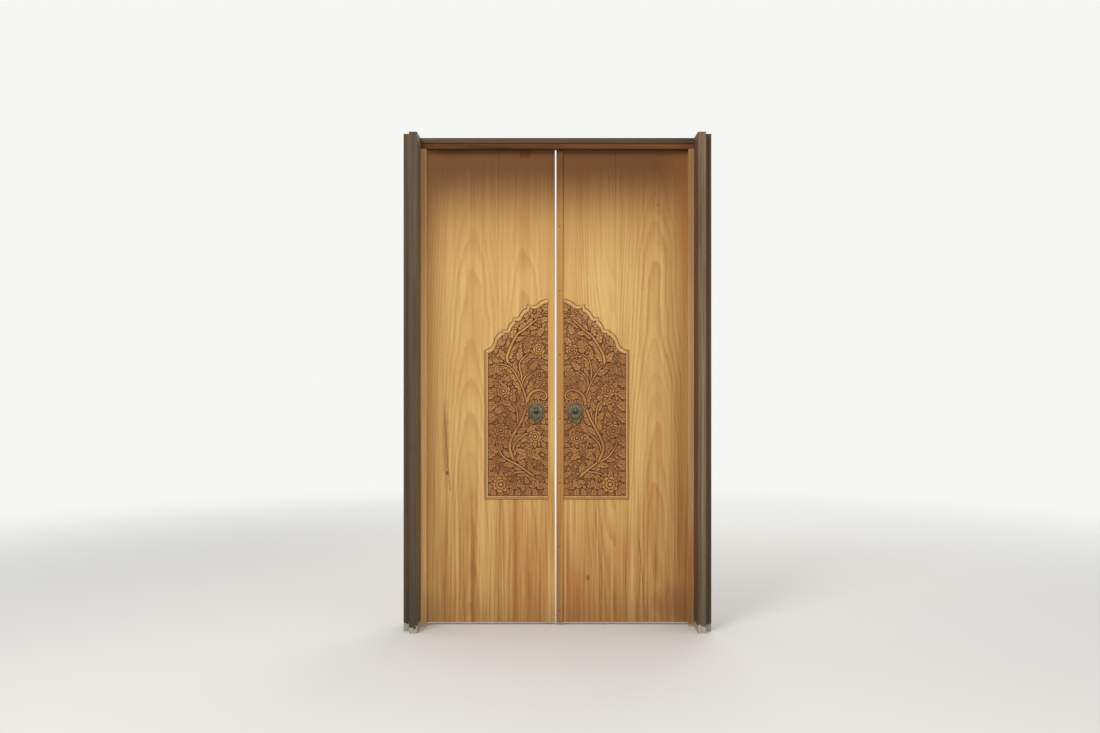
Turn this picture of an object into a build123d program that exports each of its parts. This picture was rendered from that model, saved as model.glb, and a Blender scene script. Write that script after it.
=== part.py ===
"""Carved double temple door in its frame.

Millimetres, +Z up, X along the width and -Y out of the front. The origin lies on the floor,
in the middle of the whole thing's width and depth.
"""

import math
import os

from build123d import *

os.makedirs("parts", exist_ok=True)

# Opening and frame
clear_half_width = 663.0
clear_height = 2413.0
jamb_width = 67.0
head_height = 52.0
stop_depth = 42.0
stop_lap = 12.0
arris = 3.0

# Tenons that lock the jambs in the head
tenon_width = 28.0
tenon_depth = 32.0
tenon_length = 36.0
tenon_end_gap = 0.8
peg_size = 10.0

# Dark trim in front of the frame
post_width = 40.0
post_reach = 150.0
cover_strip_width = 33.0
cover_strip_depth = 28.0
cover_strip_setback = 48.0
head_strip_height = 24.0
head_strip_depth = 9.0

# Leaves
leaf_thickness = 42.0
leaf_clearance = 3.0
floor_gap = 12.0
meeting_gap = 8.0
meeting_centre = -8.0
board_seam = 298.0
tongue_width = 12.0
tongue_length = 12.0
tongue_end_gap = 0.8
seam_bevel = 1.5

# Meeting strip on the right leaf and its nails
meeting_strip_width = 34.0
meeting_strip_height = 10.0
meeting_strip_round = 5.0
meeting_strip_head_gap = 3.0
nail_radius = 2.2
nail_sides = 6
nail_length = 26.0
nail_count = 8
nail_end_margin = 60.0

# Old housing in the top edge of the left leaf
housing_left = -190.0
housing_width = 50.0
housing_height = 50.0
housing_depth = 7.0

# Carved panels, measured from the inner bottom corner of each
panel_height = 1021.0
panel_bottom = 637.0
panel_width = {"left": 323.0, "right": 333.0}
panel_margin = {"left": 35.0, "right": 37.0}
cusps = [
    [(0, 1021), (29, 1014), (53, 998), (77, 986), (107, 994)],
    [(110, 973), (130, 962), (145, 941), (160, 925), (180, 928)],
    [(178, 910), (193, 897), (204, 878), (215, 863), (232, 866)],
    [(234, 855), (261, 837), (276, 807), (291, 777), (322, 760)],
]
cusp_slant = 0.8
outline_spare = 300.0
pocket_depth = 14.0
ground_depth = 4.0
panel_clearance = 0.3
quirk_width = 3.0
border_width = 18.0
border_height = 12.0

# Carved stems of each panel: route from root to tip, width at the root and at the tip
stems = {
    "left": [
        ([(66, 113), (146, 170), (224, 215), (259, 273), (259, 308)], 15, 8),
        ([(177, 196), (193, 288), (127, 419), (115, 524), (185, 664), (268, 693)], 17, 8),
        ([(202, 687), (206, 735), (161, 832), (121, 865), (45, 927)], 18, 10),
        ([(134, 590), (145, 641), (138, 706), (92, 750)], 9, 6),
        ([(124, 561), (127, 603), (92, 647), (64, 652)], 9, 6),
        ([(112, 477), (86, 541), (28, 548), (22, 512), (36, 522)], 10, 6),
        ([(157, 375), (156, 433), (164, 468), (198, 506)], 9, 6),
        ([(179, 241), (169, 283), (117, 330), (84, 335)], 9, 6),
        ([(186, 117), (161, 137), (103, 137), (73, 117)], 9, 7),
    ],
    "right": [
        ([(74, 108), (148, 171), (225, 216), (265, 273), (265, 308)], 15, 8),
        ([(175, 185), (200, 277), (128, 426), (113, 524), (181, 662), (259, 693)], 17, 8),
        ([(207, 680), (201, 735), (148, 825), (105, 860), (35, 926)], 18, 10),
        ([(132, 590), (141, 641), (127, 715), (77, 747)], 9, 6),
        ([(121, 561), (121, 606), (87, 649), (63, 652)], 9, 6),
        ([(115, 477), (89, 541), (26, 548), (17, 512), (34, 522)], 10, 6),
        ([(166, 375), (165, 433), (173, 473), (204, 516)], 9, 6),
        ([(191, 233), (183, 277), (137, 328), (107, 335)], 9, 6),
        ([(81, 119), (105, 140), (181, 132), (214, 103)], 9, 7),
    ],
}
stem_step = 34.0
stem_least_steps = 4

# Carved flowers of each panel: centre and outer radius
flowers = {
    "left": [
        ((240, 75), 44),
        ((66, 319), 34),
        ((240, 353), 36),
        ((227, 552), 36),
        ((45, 763), 30),
        ((43, 632), 30),
        ((288, 728), 17),
        ((89, 239), 30),
    ],
    "right": [
        ((236, 75), 44),
        ((67, 312), 34),
        ((252, 348), 36),
        ((224, 553), 36),
        ((41, 761), 30),
        ((32, 637), 30),
        ((266, 712), 17),
        ((99, 242), 30),
    ],
}
petal_count = 7
petal_notch = 0.62
inner_tier = 0.58
flower_heart = 0.24

# Carved leaves: along the stems, and in rows along the panel's edges
leaf_length = 73.0
leaf_width = 45.0
leaf_pitch = 160.0
leaf_lean = math.radians(50.0)
leaf_lobes = [(0.26, 0.45), (0.46, 0.26), (0.74, 0.4)]
leaf_shrink = 0.25
row_leaf_length = 50.0
row_leaf_width = 38.0
row_pitch = 98.0
row_lean = math.radians(62.0)

# Levels of the carving above its ground
low_leaf_height = 7.0
high_leaf_height = 9.0
stem_height = 11.0
petal_height = 11.0
inner_petal_height = 13.5
flower_heart_height = 15.0
carving_bevel = 11.0

# Ring pulls: a split pin holds the plate, and its legs are bent over a washer behind
pull_offset = 99.0
pull_height = 1086.0
seat_radius = 46.0
seat_height = 2.0
plate_radius = 44.0
plate_thickness = 3.0
scallop_depth = 4.0
scallop_count = 14
rim_radius = 37.0
rim_width = 4.0
rim_height = 2.0
ring_radius = 28.5
ring_wire_radius = 4.25
ring_wire_sides = 8
ring_sides = 24
ring_clearance = 0.6
eye_width = 7.0
eye_wall = 3.5
eye_play = 0.45
eye_rise = 6.0
leg_thickness = 4.0
leg_length = 17.0
slot_play = 0.3
washer_size = 30.0
washer_thickness = 2.0

# Lift-off hinges
hinge_end_margin = 236.0
hinge_length = 100.0
flap_width = 34.0
flap_thickness = 2.5
knuckle_radius = 6.5
knuckle_sides = 8
knuckle_clear = 0.5
knuckle_gap = 0.3
hinge_pin_radius = 3.5
pin_play = 0.05
pin_cap = 6.0
pin_end_gap = 0.5

# Square-bar bolts on the back of the leaves
bolt_plate_width = 30.0
bolt_plate_length = 150.0
bolt_plate_thickness = 2.5
bolt_bar = 12.0
bolt_play = 0.2
bolt_axis_height = 10.0
bolt_travel = 36.0
bolt_tip = 10.0
lug_length = 14.0
lug_wall = 3.0
knob_size = 9.0
knob_length = 16.0
upright_bolt_setback = 32.0
upright_plate_gap = 13.0
slide_bolt_gap = 124.0
slide_plate_setback = 13.0
keep_play = 0.5
keep_plate_margin = 7.0
slide_keep_setback = 8.0

# Places worked out from the sizes
knob_end = bolt_axis_height + bolt_bar / 2 + knob_length
face_y = (post_reach - stop_depth - leaf_thickness - knob_end) / 2
leaf_front = face_y + stop_depth
leaf_back = leaf_front + leaf_thickness
frame_half_width = clear_half_width + jamb_width
frame_height = clear_height + head_height
leaf_half_width = clear_half_width + stop_lap
leaf_top = clear_height + stop_lap
rebate_half_width = leaf_half_width + leaf_clearance
rebate_top = leaf_top + leaf_clearance
meeting_strip_top = clear_height - meeting_strip_head_gap
hinge_x = leaf_half_width + leaf_clearance / 2
hinge_y = leaf_back + knuckle_clear + knuckle_radius
ground_y = leaf_front + ground_depth
bolt_axis_y = leaf_back + bolt_axis_height
seat_y = leaf_front - seat_height
ring_y = seat_y - plate_thickness - rim_height - ring_clearance - ring_wire_radius
eye_z = pull_height + eye_rise
eye_hole_radius = ring_wire_radius + eye_play
eye_seat_y = seat_y - plate_thickness
washer_back = leaf_back + washer_thickness

hinge_heights = (
    floor_gap + hinge_end_margin,
    (floor_gap + leaf_top) / 2,
    leaf_top - hinge_end_margin,
)
slide_bolt_height = pull_height + washer_size / 2 + slide_bolt_gap + bolt_plate_width / 2

SIDES = {"left": -1, "right": 1}


def save(piece, name):
    """Label a finished piece and write it."""
    piece.part.label = name
    export_step(piece.part, f"parts/{name}.step")


def level(height):
    """The plane that lies at a height above the floor."""
    return Plane.XY.offset(height)


def facing(depth):
    """The plane at Y = depth that faces the front, with X to its right and Z up."""
    return Plane.XZ.offset(-depth)


def outline(plane, *shapes):
    """A sketch of straight-sided shapes on a plane, each given by its corners."""
    with BuildSketch(plane) as profile:
        for corners in shapes:
            Polygon(*corners, align=None)
    return profile.sketch


def circles(plane, radius, *centres):
    """A sketch of equal circles on a plane."""
    with BuildSketch(plane) as profile:
        with Locations(*centres):
            Circle(radius)
    return profile.sketch


def rectangle(x0, x1, y0, y1):
    """Corners of a rectangle."""
    return [(x0, y0), (x1, y0), (x1, y1), (x0, y1)]


def leaf_edge(side):
    """X of a leaf's meeting edge."""
    return meeting_centre + SIDES[side] * meeting_gap / 2


def panel_x(side, across):
    """X of a place that lies so far across a carved panel from its inner edge."""
    return leaf_edge(side) + SIDES[side] * (panel_margin[side] + across)


def pull_x(side):
    """X of a ring pull's centre."""
    return meeting_centre + SIDES[side] * pull_offset


def pin_outline(side, depth, play=0.0):
    """The split pin's two legs side by side, seen from the front at a depth."""
    half_width = eye_width / 2 + play
    half_height = leg_thickness + play
    x = pull_x(side)
    corners = rectangle(
        x - half_width, x + half_width, pull_height - half_height, pull_height + half_height
    )
    return outline(facing(depth), corners)


# Frame


def tenon_place(side):
    """Centre of a jamb's tenon, seen from above."""
    return (SIDES[side] * (rebate_half_width + frame_half_width) / 2, (face_y + leaf_back) / 2)


def tenon_outline(side):
    """A jamb's tenon, seen from above at the head's underside."""
    x, y = tenon_place(side)
    half_width, half_depth = tenon_width / 2, tenon_depth / 2
    corners = rectangle(x - half_width, x + half_width, y - half_depth, y + half_depth)
    return outline(level(clear_height), corners)


def peg_outline(*sides):
    """The square pegs through the tenons of some sides, seen from the front."""
    foot = clear_height + (tenon_length - peg_size) / 2
    shapes = []
    for side in sides:
        x = tenon_place(side)[0]
        shapes.append(rectangle(x - peg_size / 2, x + peg_size / 2, foot, foot + peg_size))
    return outline(facing(face_y), *shapes)


def flap_bed(x, way, height):
    """The shallow bed of a hinge flap in the face at x, seen from above at its foot."""
    corners = rectangle(x, x + way * flap_thickness, leaf_back - flap_width, leaf_back)
    return outline(level(height - hinge_length / 2), corners)


def make_jamb(side):
    """One rebated upright with its tenon and the beds of its hinges."""
    s = SIDES[side]
    section = [
        (s * clear_half_width, face_y + arris),
        (s * (clear_half_width + arris), face_y),
        (s * frame_half_width, face_y),
        (s * frame_half_width, leaf_back),
        (s * rebate_half_width, leaf_back),
        (s * rebate_half_width, leaf_front),
        (s * clear_half_width, leaf_front),
    ]
    with BuildPart() as jamb:
        extrude(outline(level(0), section), amount=clear_height)
        extrude(tenon_outline(side), amount=tenon_length)
        extrude(peg_outline(side), amount=face_y - leaf_back, mode=Mode.SUBTRACT)
        for height in hinge_heights:
            bed = flap_bed(s * rebate_half_width, s, height)
            extrude(bed, amount=hinge_length, mode=Mode.SUBTRACT)
    save(jamb, f"{side}_jamb")


def make_head():
    """The head rail over both jambs, rebated and mortised, and the pegs in it."""
    section = rectangle(-frame_half_width, frame_half_width, face_y, leaf_back)
    rebate = rectangle(-rebate_half_width, rebate_half_width, leaf_front, leaf_back)
    with BuildPart() as head:
        extrude(outline(level(clear_height), section), amount=head_height)
        extrude(
            outline(level(clear_height), rebate),
            amount=rebate_top - clear_height,
            mode=Mode.SUBTRACT,
        )
        for side in SIDES:
            mortise_height = tenon_length + tenon_end_gap
            extrude(tenon_outline(side), amount=mortise_height, mode=Mode.SUBTRACT)
        extrude(peg_outline(*SIDES), amount=face_y - leaf_back, mode=Mode.SUBTRACT)
    save(head, "head")

    with BuildPart() as pegs:
        extrude(peg_outline(*SIDES), amount=face_y - leaf_back)
    save(pegs, "frame_pegs")


def make_trim():
    """The strip on the head, the posts before the jambs and the strips beside the posts."""
    inner_x = frame_half_width - post_width
    with BuildPart() as head_strip:
        section = rectangle(-inner_x, inner_x, face_y - head_strip_depth, face_y)
        extrude(
            outline(level(frame_height - head_strip_height), section),
            amount=head_strip_height,
        )
    save(head_strip, "head_strip")

    post_front = face_y - post_reach
    strip_front = post_front + cover_strip_setback
    strip_back = strip_front + cover_strip_depth
    strip_x = frame_half_width + cover_strip_width
    for side, s in SIDES.items():
        post_section = [
            (s * inner_x, face_y),
            (s * inner_x, post_front + arris),
            (s * (inner_x + arris), post_front),
            (s * (frame_half_width - arris), post_front),
            (s * frame_half_width, post_front + arris),
            (s * frame_half_width, face_y),
        ]
        with BuildPart() as post:
            extrude(outline(level(0), post_section), amount=frame_height)
        save(post, f"{side}_post")

        strip_section = [
            (s * frame_half_width, strip_front),
            (s * (strip_x - arris), strip_front),
            (s * strip_x, strip_front + arris),
            (s * strip_x, strip_back),
            (s * frame_half_width, strip_back),
        ]
        with BuildPart() as strip:
            extrude(outline(level(0), strip_section), amount=frame_height)
        save(strip, f"{side}_cover_strip")


# Leaves


def nail_outline(plane):
    """The nails of the meeting strip, seen from the front."""
    x = leaf_edge("right") + meeting_strip_width / 2
    first = floor_gap + nail_end_margin
    pitch = (meeting_strip_top - nail_end_margin - first) / (nail_count - 1)
    with BuildSketch(plane) as profile:
        with Locations(*[(x, first + pitch * i) for i in range(nail_count)]):
            RegularPolygon(nail_radius, nail_sides)
    return profile.sketch


def make_boards(side):
    """The two wide boards of a leaf, with the tongue and groove between them."""
    s = SIDES[side]
    middle = (leaf_front + leaf_back) / 2
    near, far = middle - tongue_width / 2, middle + tongue_width / 2
    tongue_tip = board_seam + tongue_length
    groove_end = tongue_tip + tongue_end_gap
    height = leaf_top - floor_gap

    inner_section = [
        (leaf_edge(side), leaf_front),
        (s * (board_seam - seam_bevel), leaf_front),
        (s * board_seam, leaf_front + seam_bevel),
        (s * board_seam, near),
        (s * tongue_tip, near),
        (s * tongue_tip, far),
        (s * board_seam, far),
        (s * board_seam, leaf_back),
        (leaf_edge(side), leaf_back),
    ]
    with BuildPart() as inner:
        extrude(outline(level(floor_gap), inner_section), amount=height)
        extrude(panel_outline(side, 0), amount=-pocket_depth, mode=Mode.SUBTRACT)
        slot = pin_outline(side, leaf_front, slot_play)
        extrude(slot, amount=-leaf_thickness, mode=Mode.SUBTRACT)
        if side == "left":
            housing = rectangle(
                housing_left,
                housing_left + housing_width,
                leaf_top - housing_height,
                leaf_top,
            )
            extrude(
                outline(facing(leaf_front), housing),
                amount=-housing_depth,
                mode=Mode.SUBTRACT,
            )
        if side == "right":
            nail_depth = nail_length - meeting_strip_height
            extrude(nail_outline(facing(leaf_front)), amount=-nail_depth, mode=Mode.SUBTRACT)
    save(inner, f"{side}_inner_board")

    outer_section = [
        (s * leaf_half_width, leaf_front),
        (s * (board_seam + seam_bevel), leaf_front),
        (s * board_seam, leaf_front + seam_bevel),
        (s * board_seam, near),
        (s * groove_end, near),
        (s * groove_end, far),
        (s * board_seam, far),
        (s * board_seam, leaf_back),
        (s * leaf_half_width, leaf_back),
    ]
    with BuildPart() as outer:
        extrude(outline(level(floor_gap), outer_section), amount=height)
        extrude(panel_outline(side, 0), amount=-pocket_depth, mode=Mode.SUBTRACT)
        for hinge_height in hinge_heights:
            bed = flap_bed(s * leaf_half_width, -s, hinge_height)
            extrude(bed, amount=hinge_length, mode=Mode.SUBTRACT)
    save(outer, f"{side}_outer_board")


def make_meeting_strip():
    """The rounded strip down the right leaf's meeting edge, and its nails."""
    edge = leaf_edge("right")
    strip_front = leaf_front - meeting_strip_height
    section = rectangle(edge, edge + meeting_strip_width, strip_front, leaf_front)
    with BuildPart() as strip:
        extrude(outline(level(floor_gap), section), amount=meeting_strip_top - floor_gap)
        front_arrises = strip.edges().filter_by(Axis.Z).group_by(Axis.Y)[0]
        fillet(front_arrises, meeting_strip_round)
        nails = nail_outline(facing(leaf_front))
        extrude(nails, amount=meeting_strip_height, mode=Mode.SUBTRACT)
    save(strip, "meeting_strip")

    with BuildPart() as nails:
        extrude(nail_outline(facing(strip_front)), amount=-nail_length)
    save(nails, "meeting_strip_nails")


# Carved panels


def panel_outline(side, inset):
    """A panel's scalloped outline on the leaf's face, moved inwards by inset.

    The top is four S-shaped cusps of two arcs each, which step down to the shoulder. The
    outline runs on past the field, which then trims it.
    """
    def place(across, up):
        return (panel_x(side, across - inset * cusp_slant), panel_bottom + up - inset)

    width = panel_width[side]
    foot = -panel_clearance
    with BuildSketch(facing(leaf_front)) as profile:
        with BuildLine():
            for before, cusp in zip([None] + cusps, cusps):
                if before:
                    Line(place(*before[-1]), place(*cusp[0]))
                points = [place(*point) for point in cusp]
                ThreePointArc(*points[:3])
                ThreePointArc(*points[2:])
            Polyline(
                place(*cusps[-1][-1]),
                place(width + outline_spare, cusps[-1][-1][1]),
                place(width + outline_spare, foot),
                place(-outline_spare, foot),
                place(-outline_spare, cusps[0][0][1]),
                place(*cusps[0][0]),
            )
        make_face()
        field = rectangle(
            panel_x(side, min(inset, panel_clearance)),
            panel_x(side, width - inset),
            panel_bottom + inset,
            panel_bottom + panel_height,
        )
        Polygon(*field, align=None, mode=Mode.INTERSECT)
    return profile.sketch


def stem_outline(side, route, root_width, tip_width):
    """Corners of a stem that follows a smooth line and narrows to its tip."""
    line = Spline(*[(panel_x(side, across), panel_bottom + up) for across, up in route])
    steps = max(stem_least_steps, round(line.length / stem_step))
    near, far = [], []
    for i in range(steps + 1):
        at, way = line @ (i / steps), line % (i / steps)
        half = (root_width + (tip_width - root_width) * i / steps) / 2
        near.append((at.X - way.Y * half, at.Y + way.X * half))
        far.append((at.X + way.Y * half, at.Y - way.X * half))
    return near + far[::-1]


def leaf_outline(root, angle, length, width):
    """Corners of a lobed leaf that starts at a place and points along an angle."""
    upper = [Vector(along * length, out * width) for along, out in leaf_lobes]
    lower = [Vector(corner.X, -corner.Y) for corner in reversed(upper)]
    corners = [Vector(0, 0), *upper, Vector(length, 0), *lower]
    turned = [corner.rotate(Axis.Z, math.degrees(angle)) for corner in corners]
    return [(root[0] + corner.X, root[1] + corner.Y) for corner in turned]


def inset_corners(corners, inset):
    """Corners of a straight-sided shape whose sides have all moved inwards by inset."""
    count = len(corners)
    area = sum(Vector(*corners[i - 1]).cross(Vector(*corners[i])).Z for i in range(count))
    inward = math.copysign(inset, area)
    moved = []
    for i in range(count):
        here = Vector(*corners[i])
        before = (here - Vector(*corners[i - 1])).normalized()
        after = (Vector(*corners[(i + 1) % count]) - here).normalized()
        slant = before + after
        reach = inward / (1 + before.dot(after))
        moved.append((here.X - slant.Y * reach, here.Y + slant.X * reach))
    return moved


def flat_faced(faces):
    """A solid closed by flat faces, each given by its corners."""
    return Solid(Shell([Face(Wire.make_polygon(corners)) for corners in faces]))


def bevelled(corners, height):
    """A solid on the panel's ground whose flanks slope in from its outline to a flat top."""
    ground, top = facing(ground_y), facing(ground_y - height)
    inset = height * math.tan(math.radians(carving_bevel))
    foot = [ground.from_local_coords(Vector(*corner)) for corner in corners]
    brow = [top.from_local_coords(Vector(*corner)) for corner in inset_corners(corners, inset)]
    flanks = [
        [foot[i - 1], foot[i], brow[i], brow[i - 1]]
        for i in range(len(corners))
    ]
    return flat_faced([foot, brow, *flanks])


def stem_leaves(side):
    """Leaves that spring from both sides of the stems, in two sets that overlap."""
    sets = ([], [])
    for route, root_width, _ in stems[side]:
        line = Spline(*[(panel_x(side, across), panel_bottom + up) for across, up in route])
        count = int(line.length / leaf_pitch)
        for i in range(count):
            t = (i + 0.5) / count
            at, way = line @ t, line % t
            root = (at.X, at.Y)
            for flank in (1, -1):
                angle = math.atan2(way.Y, way.X) + flank * leaf_lean
                size = 1 - leaf_shrink * ((i + flank) % 2)
                corners = leaf_outline(root, angle, leaf_length * size, leaf_width * size)
                sets[i % 2].append(corners)
    return sets


def row_leaves(side):
    """Rows of leaves that lean upwards from the panel's outer, lower and inner edges."""
    s = SIDES[side]
    width = panel_width[side]
    margin = quirk_width + border_width
    sets = ([], [])
    climb = int((cusps[-1][-1][1] - margin) / row_pitch)
    for i in range(climb):
        up = panel_bottom + margin + (i + 0.5) * row_pitch
        outer = leaf_outline(
            (panel_x(side, width - margin), up),
            math.pi / 2 + s * row_lean,
            row_leaf_length,
            row_leaf_width,
        )
        inner = leaf_outline(
            (panel_x(side, 0), up),
            math.pi / 2 - s * row_lean,
            row_leaf_length,
            row_leaf_width,
        )
        sets[i % 2].extend([outer, inner])
    for i in range(int((width - margin) / row_pitch)):
        foot = leaf_outline(
            (panel_x(side, (i + 0.5) * row_pitch), panel_bottom + margin),
            math.pi / 2,
            row_leaf_length,
            row_leaf_width,
        )
        sets[i % 2].append(foot)
    return sets


def star(centre, radii, turn=0.0):
    """Corners round a centre, one at each radius in turn, petal_count times over."""
    count = petal_count * len(radii)
    return [
        (
            centre[0] + radii[i % len(radii)] * math.cos(turn + math.tau * i / count),
            centre[1] + radii[i % len(radii)] * math.sin(turn + math.tau * i / count),
        )
        for i in range(count)
    ]


def flower_tiers(side):
    """The outer petals, the inner petals and the hearts of a panel's flowers."""
    outer, inner, hearts = [], [], []
    for (across, up), radius in flowers[side]:
        centre = (panel_x(side, across), panel_bottom + up)
        reach = radius * inner_tier
        outer.append(star(centre, (radius, radius * petal_notch)))
        inner.append(star(centre, (reach, reach * petal_notch), math.pi / petal_count))
        hearts.append(star(centre, (radius * flower_heart,)))
    return outer, inner, hearts


def make_panel(side):
    """A carved panel: its ground and border, then leaves, stems and flowers in relief."""
    ground = facing(ground_y)
    border = panel_outline(side, quirk_width) - panel_outline(side, quirk_width + border_width)
    with BuildSketch(ground) as seat_profile:
        with Locations((pull_x(side), pull_height)):
            RegularPolygon(seat_radius, 2 * scallop_count)
    seat = seat_profile.sketch
    low_stem, high_stem = stem_leaves(side)
    low_row, high_row = row_leaves(side)
    routes = [stem_outline(side, *stem) for stem in stems[side]]
    outer_petals, inner_petals, hearts = flower_tiers(side)
    layers = [
        (low_row + low_stem, low_leaf_height),
        (high_row + high_stem, high_leaf_height),
        (routes, stem_height),
        (outer_petals, petal_height),
        (inner_petals, inner_petal_height),
        (hearts, flower_heart_height),
    ]
    relief = [
        bevelled(corners, height)
        for shapes, height in layers
        for corners in shapes
    ]
    with BuildPart() as panel:
        blank = panel_outline(side, panel_clearance).moved(Location((0, pocket_depth, 0)))
        extrude(blank, amount=pocket_depth - ground_depth)
        add(relief)
        extrude(border.moved(Location((0, ground_depth, 0))), amount=border_height)
        extrude(seat, amount=flower_heart_height, mode=Mode.SUBTRACT)
        extrude(seat, amount=ground_depth + seat_height)
        slot = pin_outline(side, seat_y, slot_play)
        extrude(slot, amount=-seat_height - pocket_depth, mode=Mode.SUBTRACT)
    save(panel, f"{side}_carved_panel")


# Lift-off hinges


def make_flap(name, face_x, way, height, upper):
    """A hinge flap in its bed, with its knuckle: a bored upper one or a lower one with a pin."""
    foot = height - hinge_length / 2
    half = (hinge_length - knuckle_gap) / 2
    knuckle_foot = foot + (hinge_length - half if upper else 0)
    plate = rectangle(face_x, face_x + way * flap_thickness, leaf_back - flap_width, leaf_back)
    tab = rectangle(face_x, face_x + way * flap_thickness, leaf_back, hinge_y)
    axis = (hinge_x if face_x > 0 else -hinge_x, hinge_y)
    with BuildPart() as flap:
        extrude(outline(level(foot), plate), amount=hinge_length)
        extrude(outline(level(knuckle_foot), tab), amount=half)
        with BuildSketch(level(knuckle_foot)):
            with Locations(axis):
                RegularPolygon(knuckle_radius, knuckle_sides)
        extrude(amount=half)
        if upper:
            bore = circles(level(knuckle_foot), hinge_pin_radius + pin_play, axis)
            extrude(bore, amount=half - pin_cap, mode=Mode.SUBTRACT)
        else:
            pin = circles(level(knuckle_foot + half), hinge_pin_radius, axis)
            extrude(pin, amount=hinge_length - half - pin_cap - pin_end_gap)
    save(flap, name)


def make_hinges(side):
    """Three lift-off hinges: a flap with a pin on the jamb, and a flap on the leaf."""
    s = SIDES[side]
    for number, height in enumerate(hinge_heights, start=1):
        name = f"{side}_hinge_{number}"
        make_flap(f"{name}_frame_flap", s * rebate_half_width, s, height, upper=False)
        make_flap(f"{name}_leaf_flap", s * leaf_half_width, -s, height, upper=True)


# Ring pulls


def ring_faces(x):
    """Faces of a hanging ring of short straight lengths, the top one level in the eye."""
    half_turn = math.pi / ring_sides
    corners = []
    for i in range(ring_sides):
        turn = math.pi / 2 + half_turn * (2 * i + 1)
        corners.append([])
        for j in range(ring_wire_sides):
            roll = math.tau * j / ring_wire_sides
            reach = (ring_radius + ring_wire_radius * math.cos(roll)) / math.cos(half_turn)
            corners[i].append(
                (
                    x + reach * math.cos(turn),
                    ring_y + ring_wire_radius * math.sin(roll),
                    eye_z - ring_radius + reach * math.sin(turn),
                )
            )
    return [
        [corners[i - 1][j - 1], corners[i][j - 1], corners[i][j], corners[i - 1][j]]
        for i in range(ring_sides)
        for j in range(ring_wire_sides)
    ]


def make_pull(side):
    """A ring pull: scalloped plate, split pin with its eye, the ring in it and a washer."""
    centre = (pull_x(side), pull_height)
    scallops = [
        plate_radius - scallop_depth * (i % 2) for i in range(2 * scallop_count)
    ]
    with BuildPart() as plate:
        turns = [math.tau * i / len(scallops) for i in range(len(scallops))]
        rim = [
            (centre[0] + radius * math.cos(turn), centre[1] + radius * math.sin(turn))
            for radius, turn in zip(scallops, turns)
        ]
        extrude(outline(facing(seat_y), rim), amount=plate_thickness)
        with BuildSketch(facing(eye_seat_y)):
            with Locations(centre):
                RegularPolygon(rim_radius, scallop_count)
                RegularPolygon(rim_radius - rim_width, scallop_count, mode=Mode.SUBTRACT)
        extrude(amount=rim_height)
        slot = pin_outline(side, eye_seat_y, slot_play)
        extrude(slot, amount=-plate_thickness, mode=Mode.SUBTRACT)
    save(plate, f"{side}_pull_plate")

    eye_radius = eye_hole_radius + eye_wall
    neck = rectangle(ring_y, eye_seat_y, eye_z - eye_radius, eye_z + eye_radius)
    behind = rectangle(eye_seat_y, leaf_back, eye_z - eye_radius, eye_z + eye_radius)
    with BuildPart() as eye:
        with BuildSketch(Plane.YZ.offset(centre[0])):
            with Locations((ring_y, eye_z)):
                Circle(eye_radius)
            Polygon(*neck, align=None)
            Polygon(*behind, align=None, mode=Mode.SUBTRACT)
            with Locations((ring_y, eye_z)):
                Circle(eye_hole_radius, mode=Mode.SUBTRACT)
        extrude(amount=eye_width / 2, both=True)
        extrude(pin_outline(side, eye_seat_y), amount=eye_seat_y - washer_back)
        bent_legs = rectangle(
            centre[0] - eye_width / 2,
            centre[0] + eye_width / 2,
            pull_height - leg_thickness - leg_length,
            pull_height + leg_thickness + leg_length,
        )
        extrude(outline(facing(washer_back), bent_legs), amount=-leg_thickness)
    save(eye, f"{side}_pull_pin")

    with BuildPart() as ring:
        add(flat_faced(ring_faces(centre[0])))
    save(ring, f"{side}_pull_ring")

    half = washer_size / 2
    with BuildPart() as washer:
        corners = rectangle(
            centre[0] - half, centre[0] + half, pull_height - half, pull_height + half
        )
        extrude(outline(facing(leaf_back), corners), amount=-washer_thickness)
        slot = pin_outline(side, leaf_back, slot_play)
        extrude(slot, amount=-washer_thickness, mode=Mode.SUBTRACT)
    save(washer, f"{side}_pull_washer")


# Bolts on the back of the leaves


def bolt_plane(foot, way):
    """The plane on the leaf's back with its origin at foot and its X along way."""
    return Plane(origin=(foot[0], leaf_back, foot[1]), x_dir=way, z_dir=(0, 1, 0))


def lug_outline(plane, start, play):
    """A lug's cross-section with its square hole, on a bolt's plane at X = start."""
    half_hole = bolt_bar / 2 + play
    half_lug = half_hole + lug_wall
    origin = plane.from_local_coords((start, 0, 0))
    section = Plane(origin=origin, x_dir=plane.y_dir, z_dir=plane.x_dir)
    rise = -1 if section.y_dir.dot(plane.z_dir) < 0 else 1
    hole = [bolt_axis_height - half_hole, bolt_axis_height + half_hole]
    with BuildSketch(section) as profile:
        Polygon(*rectangle(-half_lug, half_lug, 0, rise * (hole[1] + lug_wall)), align=None)
        Polygon(
            *rectangle(-half_hole, half_hole, rise * hole[0], rise * hole[1]),
            align=None,
            mode=Mode.SUBTRACT,
        )
    return profile.sketch


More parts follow.
